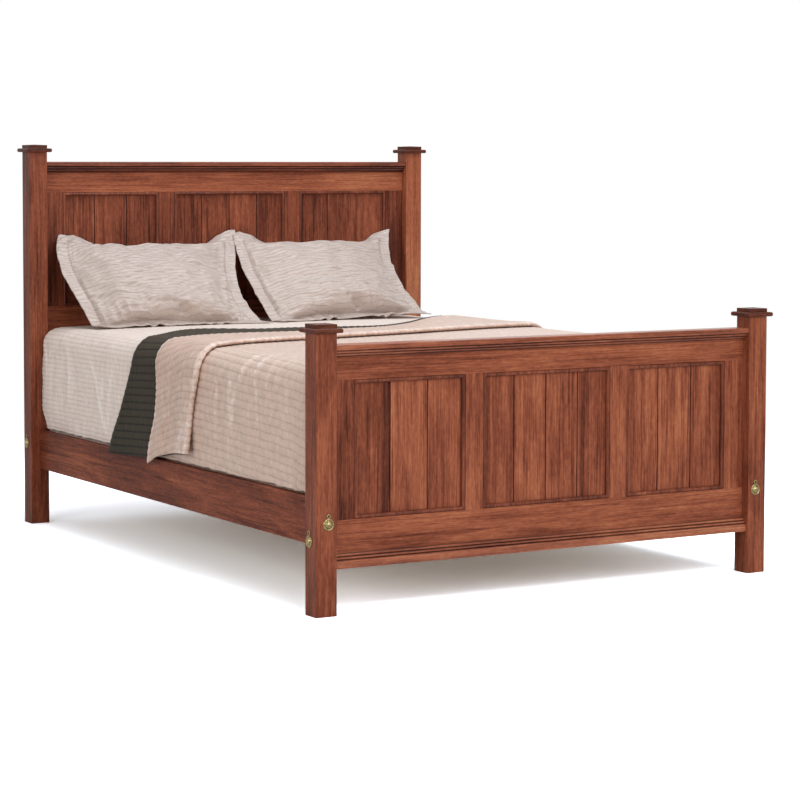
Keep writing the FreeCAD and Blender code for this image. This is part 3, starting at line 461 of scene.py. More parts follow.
def quiltedCotton(name, light, dark, pitch, line=0.10, mottle=0.3, sheen=0.12, roughness=0.45, pucker=14 * mm,
                  stretch=1.8, wander=0.0, gloss=0.4, bump=1.0, bright="efe6e0"):
    material, add = newMaterial(name)
    cloth = add("TexCoord").outputs["UV"]
    across = add("SeparateXYZ", (cloth,))
    form = sateenSettings

    def patches(size, longer=1.0):  # noise, longer across the channels than along them
        mapped = add("Mapping", {"Vector": cloth, "Scale": (1 / longer, 1.0, 1.0)})
        inputs = {"Vector": mapped, "Scale": 0.6 / size, "Detail": 2.0}
        return add("TexNoise", inputs, noise_dimensions="2D")

    if wander:
        across = weighted(add, across, (patches(form["wanderSize"]), 0.5, wander))
    wave = add("Math", (across, math.pi / pitch), operation="MULTIPLY")
    wave = add("Math", (wave,), operation="SINE")
    wave = add("Math", (wave,), operation="ABSOLUTE")
    # Painted shade of the stitching: a fine dark line and a softer, wider shade beside it.
    stitch = add("MapRange", (wave, 0.0, form["stitch"], 1.0, 0.0), interpolation_type="SMOOTHSTEP")
    valley = add("MapRange", (wave, 0.0, form["valley"], 1.0, 0.0), interpolation_type="SMOOTHSTEP")
    fold = patches(pucker, stretch)
    fine = patches(pucker * 0.3, stretch)
    # Painted highlight on creases and painted shade in seams, from the point attribute, broken up by fine
    # noise.
    paintedLight = add("Attribute", attribute_name="paintedLight").outputs["Fac"]
    broken = add("Math", (fine, 0.7, 0.2), operation="MULTIPLY_ADD")
    caught = add("Math", (paintedLight, broken), operation="MULTIPLY")
    tone = weighted(add, 0.62, (fold, 0.5, mottle), (fine, 0.5, mottle * 0.8),
                    (patches(form["cloudSize"]), 0.5, mottle * 0.3), (stitch, 0.0, -line),
                    (valley, 0.0, -line * 0.6), (caught, 0.0, form["caught"]))
    height = weighted(add, 0.0, (fold, 0.5, 1.0), (fine, 0.5, 0.6), (stitch, 0.0, -0.5),
                      (patches(form["weave"]), 0.5, 0.15))
    relief = {"Height": height, "Distance": form["puckerDepth"] * bump, "Strength": 0.7}
    # The ramp's pale top colour is reached mostly where the painted highlight lifts the tone.
    shader = add("BsdfPrincipled", {
        "Base Color": add("ValToRGB", (tone,), [(0.0, dark), (0.70, light), (1.0, bright)]),
        "Normal": add("Bump", relief), "Roughness": roughness, "Sheen Weight": sheen,
        "Sheen Roughness": 0.4, "Specular IOR Level": gloss})
    add("OutputMaterial", {"Surface": shader})
    return material


def addPaintedLight(piece, heights):  # how far each point lies up on a crease, 1, or down in a seam, -2, for the painted highlight and shade
    paintedLight = piece.data.attributes.new("paintedLight", "FLOAT", "POINT")
    paintedLight.data.foreach_set("value", np.clip(heights, -2, 1).astype(np.float32).ravel())


creaseForm = {
    "waver": 6 * mm,     # how far a crease strays from its straight line
    "beat": 23,          # its waves, in radians per metre
    "shift": 40,         # sets each crease's waves apart from the next one's
    "rise": 0.3,         # share of the length in which it comes up
    "fade": 0.6,         # share after which it dies away
    "bright": 3 * mm,    # a crease of this height gets the full painted highlight
}


def longCreases(p, q, creases):
    # Soft ridges where satin hangs. Each is a straight line across the cloth from (p, q) to (p, q),
    # with a rounded cross-section of the given width and height that fades at both ends.
    form = creaseForm
    total = np.zeros(p.shape)
    for p0, q0, p1, q1, width, height in creases:
        length = math.hypot(p1 - p0, q1 - q0)
        alongP, alongQ = (p1 - p0) / length, (q1 - q0) / length
        run = (p - p0) * alongP + (q - q0) * alongQ
        waver = form["waver"] * np.sin(run * form["beat"] + q0 * form["shift"])
        off = (q - q0) * alongP - (p - p0) * alongQ + waver
        ends = smooth(run, 0, length * form["rise"]) * (1 - smooth(run, length * form["fade"], length))
        total += height * np.exp(-(off / width) ** 2) * ends
    return total


blanketSettings = {
    "pitch": 17 * mm,
    "puff": 1.5 * mm,
    "ripple": 1.6 * mm,
    "columns": 640,
    "rows": (26, 90, 14, 14),  # at the foot, up to the head's shoulder, over it and down behind it
    "covered": -0.15,          # up to here the quilt hides the blanket, so its rows are coarse
    "sideFrom": (20 * mm, 160 * mm),  # past the core, between which the side's ripples set in
    "crinkle": (0.10, 21, 0.7),       # their size, seed and spread
    "creases": [               # on the sides, from the shoulder towards the hem
        (-0.80, 0.66, -1.16, 0.46, 8 * mm, 4 * mm), (-0.82, 0.52, -1.10, 0.55, 5 * mm, 3 * mm),
        (-0.80, 0.42, -1.12, 0.50, 5 * mm, 3 * mm), (-0.79, 0.83, -1.02, 0.80, 7 * mm, 4 * mm),
        (-0.84, 0.36, -1.05, 0.40, 4 * mm, 2 * mm), (0.80, 0.60, 1.12, 0.50, 7 * mm, 3 * mm),
        (0.80, 0.85, 1.05, 0.80, 6 * mm, 3 * mm),
    ],
}
# Cream, with close fine lines painted as the stitching's shade, and soft highlights painted on its folds.
blanketCotton = quiltedCotton("Cotton sateen blanket, cream", "e8d6ca", "9a867b", blanketSettings["pitch"],
                              mottle=0.24)


def makeBlanket(settings):
    # The cloth over the bed, moved along its normals: in at the stitched lines, in and out by small
    # ripples on the sides, and out along the creases.
    fall = shoulderZ - bedForm["hemZ"]
    wide = coreX + quarter + fall
    p = np.linspace(-wide, wide, settings["columns"])
    low, high = coreFoot - quarter - fall, coreHead + quarter + fall
    stops = [low, settings["covered"], coreHead, coreHead + quarter, high]
    spans = zip(stops, stops[1:], settings["rows"])
    q = np.concatenate([np.linspace(start, end, count, endpoint=end == high) for start, end, count in spans])
    gridP, gridQ = np.meshgrid(p, q)
    points = overBed(gridP, gridQ, 0.0)
    sideStart, sideEnd = settings["sideFrom"]
    side = smooth(abs(gridP), coreX + sideStart, coreX + sideEnd)
    depth = settings["puff"] * (channel(gridP, settings["pitch"]) - 1)
    depth = depth + settings["ripple"] * side * (ripple(gridQ, gridP, *settings["crinkle"]) * 0.7 - 1)
    creases = longCreases(gridP, gridQ, settings["creases"])
    points = points + gridNormals(points) * (depth + creases)[..., None]
    blanket = gridPiece("blanket_quilted", points, np.stack([gridP, gridQ], -1), [blanketCotton])
    # Painted highlight along the creases.
    addPaintedLight(blanket, creases / creaseForm["bright"])
    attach(blanket, "bed")
    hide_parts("blanket")


makeBlanket(blanketSettings)
print("blanket laid")


def lineAcross(pairs, steps=260, span=21):
    # A line across the bed from (p, q) pairs, with its corners rounded over span of its steps.
    xs, ys = np.array(pairs).T
    fine = np.linspace(xs[0], xs[-1], steps)
    kernel = np.hanning(span) / np.hanning(span).sum()
    rounded = np.convolve(np.pad(np.interp(fine, xs, ys), span // 2, mode="edge"), kernel, mode="valid")
    return lambda p: np.interp(p, fine, rounded)


# Lines across the bed: the throw's fold, its upper layer's free edge and its lower layer's edge.
foldLine = lineAcross([
    (-1.25, -0.24), (-1.03, -0.233), (-0.90, -0.26), (-0.80, -0.295), (-0.69, -0.24), (-0.59, -0.20),
    (-0.30, -0.205), (0.0, -0.165), (0.28, -0.08), (0.44, -0.016), (0.72, 0.08), (0.90, 0.12), (1.25, 0.16)])
freeLine = lineAcross([
    (-1.25, 0.080), (-1.15, 0.072), (-1.07, 0.062), (-1.02, 0.055), (-0.93, 0.030), (-0.83, 0.038),
    (-0.72, 0.075), (-0.60, 0.115), (-0.48, 0.098), (-0.33, 0.045), (-0.24, 0.025), (-0.08, 0.06),
    (0.06, 0.065), (0.16, 0.115), (0.30, 0.23), (0.45, 0.40), (0.59, 0.55), (0.70, 0.62), (0.90, 0.65),
    (1.25, 0.67)])
headLine = lineAcross([
    (-1.25, 0.44), (-1.18, 0.411), (-1.02, 0.35), (-0.90, 0.283), (-0.79, 0.233), (-0.70, 0.27),
    (-0.62, 0.35), (-0.51, 0.44), (-0.42, 0.425), (-0.34, 0.32), (-0.28, 0.28), (-0.20, 0.29),
    (-0.12, 0.268), (0.0, 0.235), (0.15, 0.215), (0.25, 0.27), (0.40, 0.40), (0.55, 0.57), (0.71, 0.72),
    (0.90, 0.75), (1.25, 0.77)])

quiltSettings = {
    "pitch": 26 * mm,
    "skew": 0.055,       # the channels run a little out of line with the bed
    "puff": 2.2 * mm,
    "ripple": 0.9 * mm,
    "lift": 8.6 * mm,    # over the blanket's outer face
    "sink": 1.0 * mm,    # how much less high its channels' tops are
    "hemZ": 0.306,
    "under": 0.06,       # how far the throw's head edge lies past the quilt's
    "columns": 640,
    "rows": (34, 84),    # on about the share that hangs inside the footboard, and on the rest
    "footShare": 0.30,
    "sideFrom": (-20 * mm, 140 * mm),  # past the core, between which the side's ripples set in
    "crinkle": (0.09, 31, 0.8),        # their size, seed and spread
    # Raised creases get a painted highlight; the last two, near the foot, dip in and get painted shade.
    "creases": [
        (-0.74, -0.50, -1.12, -0.47, 22 * mm, 1.6 * mm), (-0.76, -0.53, -1.00, -0.50, 4 * mm, 2 * mm),
        (-0.70, -0.58, -0.90, -0.54, 5 * mm, 2 * mm), (-0.68, -0.64, -0.88, -0.66, 5 * mm, 2 * mm),
        (-0.72, -0.66, -1.08, -0.67, 4 * mm, 2 * mm), (-0.70, -0.72, -0.92, -0.74, 5 * mm, 2 * mm),
        (-0.66, -0.56, -0.86, -0.55, 12 * mm, 1.6 * mm), (-0.64, -0.62, -0.82, -0.64, 12 * mm, 1.4 * mm),
        (-0.66, -0.70, -0.84, -0.73, 14 * mm, 1.4 * mm), (-0.68, -0.78, -0.86, -0.80, 12 * mm, 1.2 * mm),
        (-0.78, -0.86, -1.02, -0.86, 5 * mm, 2 * mm), (-0.80, -0.38, -1.05, -0.39, 5 * mm, 2 * mm),
        (0.76, -0.30, 1.08, -0.33, 5 * mm, 2 * mm), (0.74, -0.62, 1.08, -0.60, 6 * mm, 3 * mm),
        (-1.08, -0.925, -1.20, -0.965, 5 * mm, -6 * mm), (1.08, -0.925, 1.20, -0.965, 5 * mm, -6 * mm),
    ],
}
# Warm taupe, evenly channelled, with a soft sheen on its curves, painted shade along its stitching and
# painted highlights on its creases.
quiltTaupe = quiltedCotton("Cotton sateen quilt, taupe", "d1b5a5", "7f6150", quiltSettings["pitch"])


def makeQuilt(settings):
    # The foot half's cloth over the bed, from its hem to under the throw, moved along its normals as
    # the blanket is. Its channels are counted along p less a share of q.
    fall = shoulderZ - settings["hemZ"]
    wide = coreX + quarter + fall
    p = np.linspace(-wide, wide, settings["columns"])
    start = coreFoot - quarter - fall
    end = headLine(p) - settings["under"]
    coarse, fine = settings["rows"]
    rows = np.concatenate([np.linspace(0, settings["footShare"], coarse, endpoint=False),
                           np.linspace(settings["footShare"], 1, fine)])[:, None]
    gridP = np.broadcast_to(p, (len(rows), len(p)))
    gridQ = start + rows * (end - start)
    points = overBed(gridP, gridQ, settings["lift"])
    sideStart, sideEnd = settings["sideFrom"]
    side = smooth(abs(gridP), coreX + sideStart, coreX + sideEnd)
    lane = gridP - settings["skew"] * gridQ
    depth = settings["puff"] * (channel(lane, settings["pitch"]) - 1) - settings["sink"]
    depth = depth + settings["ripple"] * (0.3 + side) * ripple(gridQ, gridP, *settings["crinkle"])
    creases = longCreases(gridP, gridQ, settings["creases"])
    points = points + gridNormals(points) * (depth + creases)[..., None]
    quilt = gridPiece("quilt_foot_end", points, np.stack([lane, gridQ], -1), [quiltTaupe])
    # Painted highlight on the raised creases, painted shade in the two that dip in.
    addPaintedLight(quilt, creases / creaseForm["bright"])
    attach(quilt, "bed")
    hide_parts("quilt")


makeQuilt(quiltSettings)
print("quilt laid")

throwSettings = {  # folded double across the bed
    "columns": 420,
    "rows": (44, 14, 64),  # in the lower layer, round the fold and in the upper layer
    "under": 11.5 * mm,    # middle of the lower layer above the blanket's outer face
    "over": 17.8 * mm,     # middle of the upper layer, away from the puffed fold
    "puffed": 28.5 * mm,   # top of the puffed fold
    "pressed": 5 * mm,     # how much flatter it lies on top of the bed
    "pressedTo": (-20 * mm, 120 * mm),  # past the top's edge, where it swells up again
    "puffWide": 85 * mm,
    "overhang": 24 * mm,   # how far the puffed fold leans over the line where it meets the quilt
    "thick": 3.6 * mm,
    "hemZ": 0.342,
    "spare": 12 * mm,      # how much longer than down to hemZ the free edge hangs
    "climb": 74 * mm,      # how much higher the hem is at the fold than at the free edge
    "climbOver": 0.15,     # the distance in which it rises
    "climbUnder": 0.92,    # the lower layer's share of that rise
    "shorter": 18 * mm,    # how much shorter the lower layer hangs past the upper one's free edge
    "shorterOver": 0.12,   # the distance before that edge in which it draws back
    "shorterHead": 0.9,    # share of it that is gone again at the lower layer's head edge
    "loose": 2 * mm,       # how far the upper layer's ends stand off in waves
    "waves": (0.11, 41, 0.6),  # their size, seed and spread
    "pitchUnder": 25 * mm,
    "skewUnder": -0.065,
    "puffUnder": -1.8 * mm,  # below 0, because the lower layer's normals point down
    "pitchOver": 24 * mm,
    "skewOver": -0.36,     # past the fold the upper layer's channels lie askew
    "straight": 105 * mm,  # beside the fold they don't
    "blend": 40 * mm,      # over which the one turns to the other
    "puffOver": 2.4 * mm,
    "evenFold": (0.9, 60 * mm),  # how much flatter the channels are on the fold, and how far from it
    "highlightBand": (0.8, 50 * mm, 34 * mm),  # painted highlight beside the fold on the ends: weight, place, half width
    "highlightFold": (0.9, 8 * mm, 10 * mm),   # the same for the painted highlight along the fold
    "paleEdge": 7 * mm,    # half width of the painted lighter line along the free edge
}
# Cloudier than the quilt, with highlights painted on its creases and fold. Its other side is nearly black and
# dull.
throwTaupe = quiltedCotton("Cotton sateen throw, taupe", "cbac9b", "785a4b", throwSettings["pitchOver"],
                           mottle=0.42, bright="dfd4cc")
throwOlive = quiltedCotton("Cotton sateen throw, olive", "3a3226", "0d0b08", throwSettings["pitchUnder"],
                           line=0.4, mottle=0.2, sheen=0.02, roughness=0.7, gloss=0.15)


def makeThrow(settings):
    # The cloth's section runs from the lower layer's head edge to the fold, round it in half a turn
    # and out to the upper layer's free edge. Carried across the bed, it swells beside the fold as a
    # bell curve, and its ends hang shorter from the free edge to the fold.
    lowRows, foldRows, topRows = settings["rows"]
    edgeX = coreX + quarter
    wide = edgeX + shoulderZ - settings["hemZ"] + settings["spare"]
    p = np.linspace(-wide, wide, settings["columns"])
    fold, free, head = foldLine(p), freeLine(p), headLine(p)
    inner = fold + settings["overhang"]
    low = np.linspace(0, 1, lowRows)[:, None]
    angle = np.linspace(0, math.pi, foldRows + 2)[1:-1, None]
    top = np.linspace(0, 1, topRows)[:, None]
    gridQ = np.concatenate([head + low * (inner - head), inner - settings["overhang"] * np.sin(angle),
                            inner + top * (free - inner)])
    gridP = np.broadcast_to(p, gridQ.shape)
    flatEnd, roundEnd = settings["pressedTo"]
    pressed = 1 - smooth(abs(p), coreX + flatEnd, coreX + roundEnd)
    puffed = settings["puffed"] - settings["pressed"] * pressed
    rise = (puffed - settings["under"]) * (1 - np.cos(angle)) / 2
    flatter = np.exp(-((gridQ[-topRows:] - inner) / settings["puffWide"]) ** 2)
    lift = np.concatenate([np.full((lowRows, len(p)), settings["under"]),
                           np.broadcast_to(settings["under"] + rise, (foldRows, len(p))),
                           settings["over"] + (puffed - settings["over"]) * flatter])
    upper = np.concatenate([np.zeros(lowRows), np.linspace(0, 1, foldRows), np.ones(topRows)])[:, None]
    hanging = np.clip((abs(gridP) - edgeX) / (wide - edgeX), 0, 1)
    toFree = freeLine(gridP) - gridQ
    climb = settings["climb"] * (1 - np.exp(-np.maximum(toFree, 0) / settings["climbOver"]))
    climb = climb * (settings["climbUnder"] + (1 - settings["climbUnder"]) * upper)
    toHead = np.clip(-toFree / (headLine(gridP) - freeLine(gridP)), 0, 1)
    drawn = (1 - smooth(toFree, 0, settings["shorterOver"])) * (1 - settings["shorterHead"] * toHead)
    climb = climb + settings["shorter"] * (1 - upper) * drawn
    gridP = np.sign(gridP) * (abs(gridP) - hanging * climb)
    toFree, fromFold = freeLine(gridP) - gridQ, gridQ - foldLine(gridP)
    lift = lift + upper * hanging * settings["loose"] * (1 + ripple(gridQ, gridP, *settings["waves"]))
    points = overBed(gridP, gridQ, lift, outside=True)
    beyond = fromFold - settings["straight"]
    away = (beyond + np.sqrt(beyond ** 2 + settings["blend"] ** 2)) / 2
    laneUnder = gridP - settings["skewUnder"] * gridQ
    laneOver = gridP - settings["skewOver"] * away
    lane = np.where(upper > 0, laneOver, laneUnder)
    puff = np.where(upper > 0, settings["puffOver"] * (channel(laneOver, settings["pitchOver"]) - 0.5),
                    settings["puffUnder"] * (channel(laneUnder, settings["pitchUnder"]) - 0.5))
    even, evenWide = settings["evenFold"]
    puff = puff * (1 - even * upper * (1 - hanging) * np.exp(-(fromFold / evenWide) ** 2))
    points = points + gridNormals(points) * puff[..., None]
    throw = gridPiece("throw_folded_double", points, np.stack([lane, gridQ], -1), [throwTaupe, throwOlive])
    # Painted highlights on the upper layer: a band beside the fold on the hanging ends, a line on the fold's
    # crest and a lighter line along the free edge.
    band, crest = (weight * np.exp(-((fromFold - place) / half) ** 2)
                   for weight, place, half in (settings["highlightBand"], settings["highlightFold"]))
    rim = np.exp(-(toFree / settings["paleEdge"]) ** 2)
    addPaintedLight(throw, upper * (band * hanging ** 0.5 + crest + rim))
    solid = throw.modifiers.new("thickness", "SOLIDIFY")
    solid.thickness = settings["thick"]
    solid.offset = 0.0
    solid.material_offset = 1
    solid.material_offset_rim = 0
    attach(throw, "bed")
    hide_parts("throw")


makeThrow(throwSettings)
print("throw laid")

pillowSettings = {
    "cell": 11 * mm,       # spacing of the simulated cloth
    "rim": 4,              # flange width in cells
    "wide": 64,            # cells across, flanges included
    "tall": 42,
    "start": 4 * mm,       # how far apart the two layers start, halved
    "pressure": 1.2,
    "frames": 26,
    "finer": 3,            # times finer for the finished mesh
    "front": 80 * mm,      # how far the filling swells to the front and to the back
    "back": 60 * mm,
    "flange": 4 * mm,      # thickness of the double cloth
    "topFold": 70.0,       # degrees that the top flange falls back between its corners
    "sag": 30 * mm,        # how much lower the top edge is between its corners
    "between": (-1.0, -0.25, 0.45, 0.95),  # from the left, -1, to the right, 1, both grow, then fade
    "wallY": 1.0900,       # the pillows stop at the headboard's planks
    "offBed": 1.0 * mm,
    "pitch": 13 * mm,
    "seam": (-1.2, 3 * mm),  # how dark the seam's painted shade is, and its half width
}
shamSettings = {           # the crinkled sham, where a pair is height and size of the waves
    "sideFull": 0.4,       # share of its thickness that the filling keeps at the side seams
    "sideRun": 0.17,       # how far in from the side edges it is full
    "footFull": 0.10,      # how much fuller it is at the foot and thinner at the top
    "lump": (3.0 * mm, 0.15),
    "gather": (3.5 * mm, 0.075),
    "gatherRun": (0.045, 0.04),  # how far up from the foot seam, and in from the side seams
    "gatherFrom": 0.012,
    "row": (1.8 * mm, 0.030),    # waves along the stitched rows
    "flangeWave": (1.6 * mm, 0.17),
    "flangeCrumple": (1.2 * mm, 0.075),
    "cornerCrumple": 4 * mm,     # more of it in the top corners
    "rowStray": (4 * mm, 0.14),  # how far the stitched rows stray from straight
}
# Grey beige, finely crinkled along its rows, so that the stitched lines hardly show.
shamCotton = quiltedCotton("Cotton sateen shams, grey beige", "bdaba1", "6f5f57", pillowSettings["pitch"],
                           line=0.06, mottle=0.21, pucker=27 * mm, stretch=0.33, wander=0.012, bump=1.8)
pillowPlaces = {
    # corners of the flange as (x, y, z): foot left, foot right, top left, top right. Bows are how
    # far the left and right edges curve to the right between their corners, and where, from -1 to 1.
    "left": {"corners": [(-0.690, 0.790, 0.742), (-0.030, 0.690, 0.742), (-0.713, 1.085, 1.069),
                         (0.012, 1.080, 1.070)],
             "bows": ((-38 * mm, 0.8), (-66 * mm, -0.5)), "seed": 5},
    "right": {"corners": [(0.012, 0.705, 0.742), (0.712, 0.775, 0.752), (0.000, 1.072, 1.068),
                          (0.703, 1.085, 1.067)],
              "bows": ((-34 * mm, 0.0), (-58 * mm, 0.1)), "seed": 8},
}


def inflated(settings):
    # Two layers of cloth sewn along the flange's inner edge and blown up by pressure, with the
    # flange as one layer round them. Returns the front and back layers as grids of points.
    nu, nv, rim, cell = settings["wide"] + 1, settings["tall"] + 1, settings["rim"], settings["cell"]
    u, v = np.meshgrid((np.arange(nu) - (nu - 1) / 2) * cell, (np.arange(nv) - (nv - 1) / 2) * cell)
    inside = np.zeros((nv, nu), bool)
    inside[rim + 1:-rim - 1, rim + 1:-rim - 1] = True
    sewn = np.zeros((nv, nu), bool)
    sewn[rim:nv - rim, rim:nu - rim] = True
    flat = np.stack([u, v, np.where(inside, settings["start"], 0.0)], -1).reshape(-1, 3)
    backIndex = np.arange(nv * nu)
    backIndex[inside.ravel()] = nv * nu + np.arange(inside.sum())
    points = np.concatenate([flat, (flat * (1, 1, -1))[inside.ravel()]])
    quads = gridQuads(nv, nu)
    body = sewn[:-1, :-1] & sewn[1:, 1:]
    faces = np.concatenate([quads, backIndex[quads[body.ravel()]][:, ::-1]])
    piece = meshPiece("pillow_cloth", points, faces, points[:, :2], [])
    blown = piece.vertex_groups.new(name="blown")
    members = np.concatenate([np.flatnonzero(sewn.ravel()), np.arange(nv * nu, len(points))])
    blown.add([int(i) for i in members], 1.0, "REPLACE")
    cloth = piece.modifiers.new("cloth", "CLOTH")
    stiff = {"quality": 6, "mass": 0.25, "tension_stiffness": 30, "compression_stiffness": 30,
             "shear_stiffness": 12, "bending_stiffness": 0.6, "air_damping": 4, "use_pressure": True,
             "vertex_group_pressure": "blown", "uniform_pressure_force": settings["pressure"]}
    for option, value in stiff.items():
        setattr(cloth.settings, option, value)
    cloth.settings.effector_weights.gravity = 0
    cloth.collision_settings.use_collision = False
    cloth.point_cache.frame_start, cloth.point_cache.frame_end = 1, settings["frames"]
    scene = bpy.context.scene
    for number in range(1, settings["frames"] + 1):
        scene.frame_set(number)
    shape = piece.evaluated_get(bpy.context.evaluated_depsgraph_get()).data
    settled = np.empty(len(points) * 3, np.float32)
    shape.vertices.foreach_get("co", settled)
    settled = settled.reshape(-1, 3).astype(float)
    scene.frame_set(1)
    bpy.data.objects.remove(piece)
    return settled[:nv * nu].reshape(nv, nu, 3), settled[backIndex].reshape(nv, nu, 3)


def finer(grid, times):  # the same surface on a finer grid, by cubic steps along both ways
    for axis in (0, 1):
        count = grid.shape[axis]
        at = np.linspace(0, count - 1, (count - 1) * times + 1)
        base = np.clip(at.astype(int), 0, count - 2)
        t = (at - base).reshape([-1 if i == axis else 1 for i in range(3)])
        before, here, after, beyond = (np.take(grid, np.clip(base + step, 0, count - 1), axis=axis)
                                       for step in (-1, 0, 1, 2))
        bent = 2 * before - 5 * here + 4 * after - beyond + t * (3 * (here - after) + beyond - before)
        grid = here + 0.5 * t * (after - before + t * bent)
    return grid


def wrinkled(n, flatU, flatV, face, halfU, halfV, edge, seed):
    # The filling's height n, fuller towards the foot, with soft lumps, waves along the stitched
    # rows, and sharp gathers that run up from the lower seam and in from the sides. A sharp crest is
    # one less twice the size of a ripple. edge is the flange's width.
    form = shamSettings

    def waves(part, step, *spread, along=(flatU, flatV)):  # a ripple and its height
        height, size = form[part]
        return ripple(*along, size, seed + step, *spread), height

    body = smooth(abs(n), 0.001, 0.02)
    n = n * (form["sideFull"] + (1 - form["sideFull"]) * smooth(halfU - abs(flatU), edge, form["sideRun"]))
    wave, height = waves("lump", 0)
    n = n * (1 - form["footFull"] * flatV / halfV) + body * height * wave
    fromFoot = np.maximum(flatV + halfV - edge, 0)
    fromSide = np.maximum(halfU - edge - abs(flatU), 0)
    upRun, inRun = form["gatherRun"]
    near = np.exp(-fromFoot / upRun) * smooth(fromFoot, 0.0, form["gatherFrom"])
    near = near + 0.5 * np.exp(-fromSide / inRun) * smooth(fromSide, 0.0, form["gatherFrom"])
    wave, height = waves("gather", 2, 1.3)
    n = n + face * body * near * height * (1 - 2 * abs(wave))
    wave, height = waves("row", 6, 0.9, along=(flatV, flatU))
    n = n + face * body * height * wave
    corner = smooth(abs(flatU) / halfU, 0.75, 1.0) * smooth(flatV / halfV, 0.6, 1.0)
    crumple, height = waves("flangeCrumple", 8)
    crumple = (height + form["cornerCrumple"] * corner) * (1 - 2 * abs(crumple))
    wave, height = waves("flangeWave", 4)
    return n + (1 - body) * (height * wave + crumple) + face * pillowSettings["flange"] / 2


def makePillow(side, layers):
    # Each layer is stretched between the flange's four corners and stands off along the pillow's
    # forward axis. Its sides bow, its top flange falls back round the seam and its foot flange turns
    # forward on to the bed.
    settings, place = pillowSettings, pillowPlaces[side]
    footLeft, footRight, topLeft, topRight = np.array(place["corners"])
    upward = (topLeft + topRight - footLeft - footRight) / 2
    tall = np.linalg.norm(upward)
    upward = upward / tall
    forward = np.cross((topRight - topLeft + footRight - footLeft), upward)
    forward = forward / np.linalg.norm(forward)
    seam = 1 - 2 * settings["rim"] / settings["tall"]
    halfU, halfV = settings["wide"] * settings["cell"] / 2, settings["tall"] * settings["cell"] / 2
    edge = settings["rim"] * settings["cell"]
    upFrom, upTo, downFrom, downTo = settings["between"]
    finished = []
    for layer, face, swell in zip(layers, (1.0, -1.0), (settings["front"], settings["back"])):
        layer = finer(layer, settings["finer"])
        u, v, n = layer[..., 0], layer[..., 1], layer[..., 2]
        rows, cols = np.indices(u.shape)
        flatU = (cols / (u.shape[1] - 1) * 2 - 1) * halfU
        flatV = (rows / (u.shape[0] - 1) * 2 - 1) * halfV
        s, t = u / abs(u[0, 0]), v / abs(v[0, 0])
        n = wrinkled(n * swell / abs(n).max(), flatU, flatV, face, halfU, halfV, edge, place["seed"])
        low = footLeft + (footRight - footLeft) * ((s + 1) / 2)[..., None]
        high = topLeft + (topRight - topLeft) * ((s + 1) / 2)[..., None]
        points = low + (high - low) * ((t + 1) / 2)[..., None] + n[..., None] * forward
        across = smooth(s, -1.0, 1.0)
        for share, (bow, peak) in zip((1 - across, across), place["bows"]):
            points[..., 0] += share * bow * (1 - t ** 2) * (1 + peak * t)
        between = smooth(s, upFrom, upTo) * (1 - smooth(s, downFrom, downTo))
        over = np.maximum(t - seam, 0) * tall / 2
        fall = np.radians(settings["topFold"]) * between
        folded = (np.cos(fall) - 1)[..., None] * upward - np.sin(fall)[..., None] * forward
        points = points + over[..., None] * folded
        points[..., 2] -= settings["sag"] * between * smooth(t, 0.0, 1.0)
        under = np.maximum(-t - seam, 0) * tall / 2
        points = points + under[..., None] * (upward + (0.0, -1.0, 0.0))
        points[..., 2] -= (1 - seam) * tall / 2 * upward[2] * (1 - t) / 2
        crown = bedForm["crown"] * (1 - np.clip(points[..., 0] / coreX, -1, 1) ** 2)
        bed = bedForm["edgeZ"] + crown + settings["offBed"]
        thick = settings["flange"] if face > 0 else 0
        points[..., 2] = np.maximum(points[..., 2], bed + thick)
        points[..., 1] = np.minimum(points[..., 1], settings["wallY"] - thick)
        finished.append(points)
    front, back = finished
    nv, nu = front.shape[:2]
    quads = gridQuads(nv, nu)
    grid = np.arange(nv * nu).reshape(nv, nu)
    rim = np.concatenate([grid[0, :-1], grid[:-1, -1], grid[-1, :0:-1], grid[:0:-1, 0]])
    beyond = np.roll(rim, -1)
    wall = np.stack([rim, rim + nv * nu, beyond + nv * nu, beyond], -1)
    stray, size = shamSettings["rowStray"]
    rowV = flatV + stray * ripple(flatU, flatV, size, place["seed"] + 1)
    cloth = np.tile(np.stack([rowV, flatU], -1).reshape(-1, 2), (2, 1))
    points = np.concatenate([front, back]).reshape(-1, 3)
    quads = np.concatenate([quads, quads[:, ::-1] + nv * nu, wall])
    piece = meshPiece(f"pillow_sham_{side}", points, quads, cloth, [shamCotton])
    # Painted shade along the seam round the filled body.
    fromSeam = np.minimum(halfU - abs(flatU), halfV - abs(flatV)) - edge
    dark, half = settings["seam"]
    seamShade = dark * np.exp(-(fromSeam / half) ** 2)
    addPaintedLight(piece, np.concatenate([seamShade, seamShade]))
    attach(piece, "bed")
    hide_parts(f"pillow_{side}")


layers = inflated(pillowSettings)
for side in pillowPlaces:
    makePillow(side, layers)
print("pillows set")

slabSettings = {
    "foundation": {"corner": 40 * mm, "edge": 12 * mm},  # radius of the upright corners and of the edges
    "mattress": {"corner": 80 * mm, "edge": 70 * mm, "halfX": 0.774, "endGap": 6 * mm, "topGap": 10 * mm},
}
tickingPitch = 60 * mm  # wide channels
ticking = quiltedCotton("Woven ticking, off white", "e4ded4", "a9a196", tickingPitch, line=0.06)


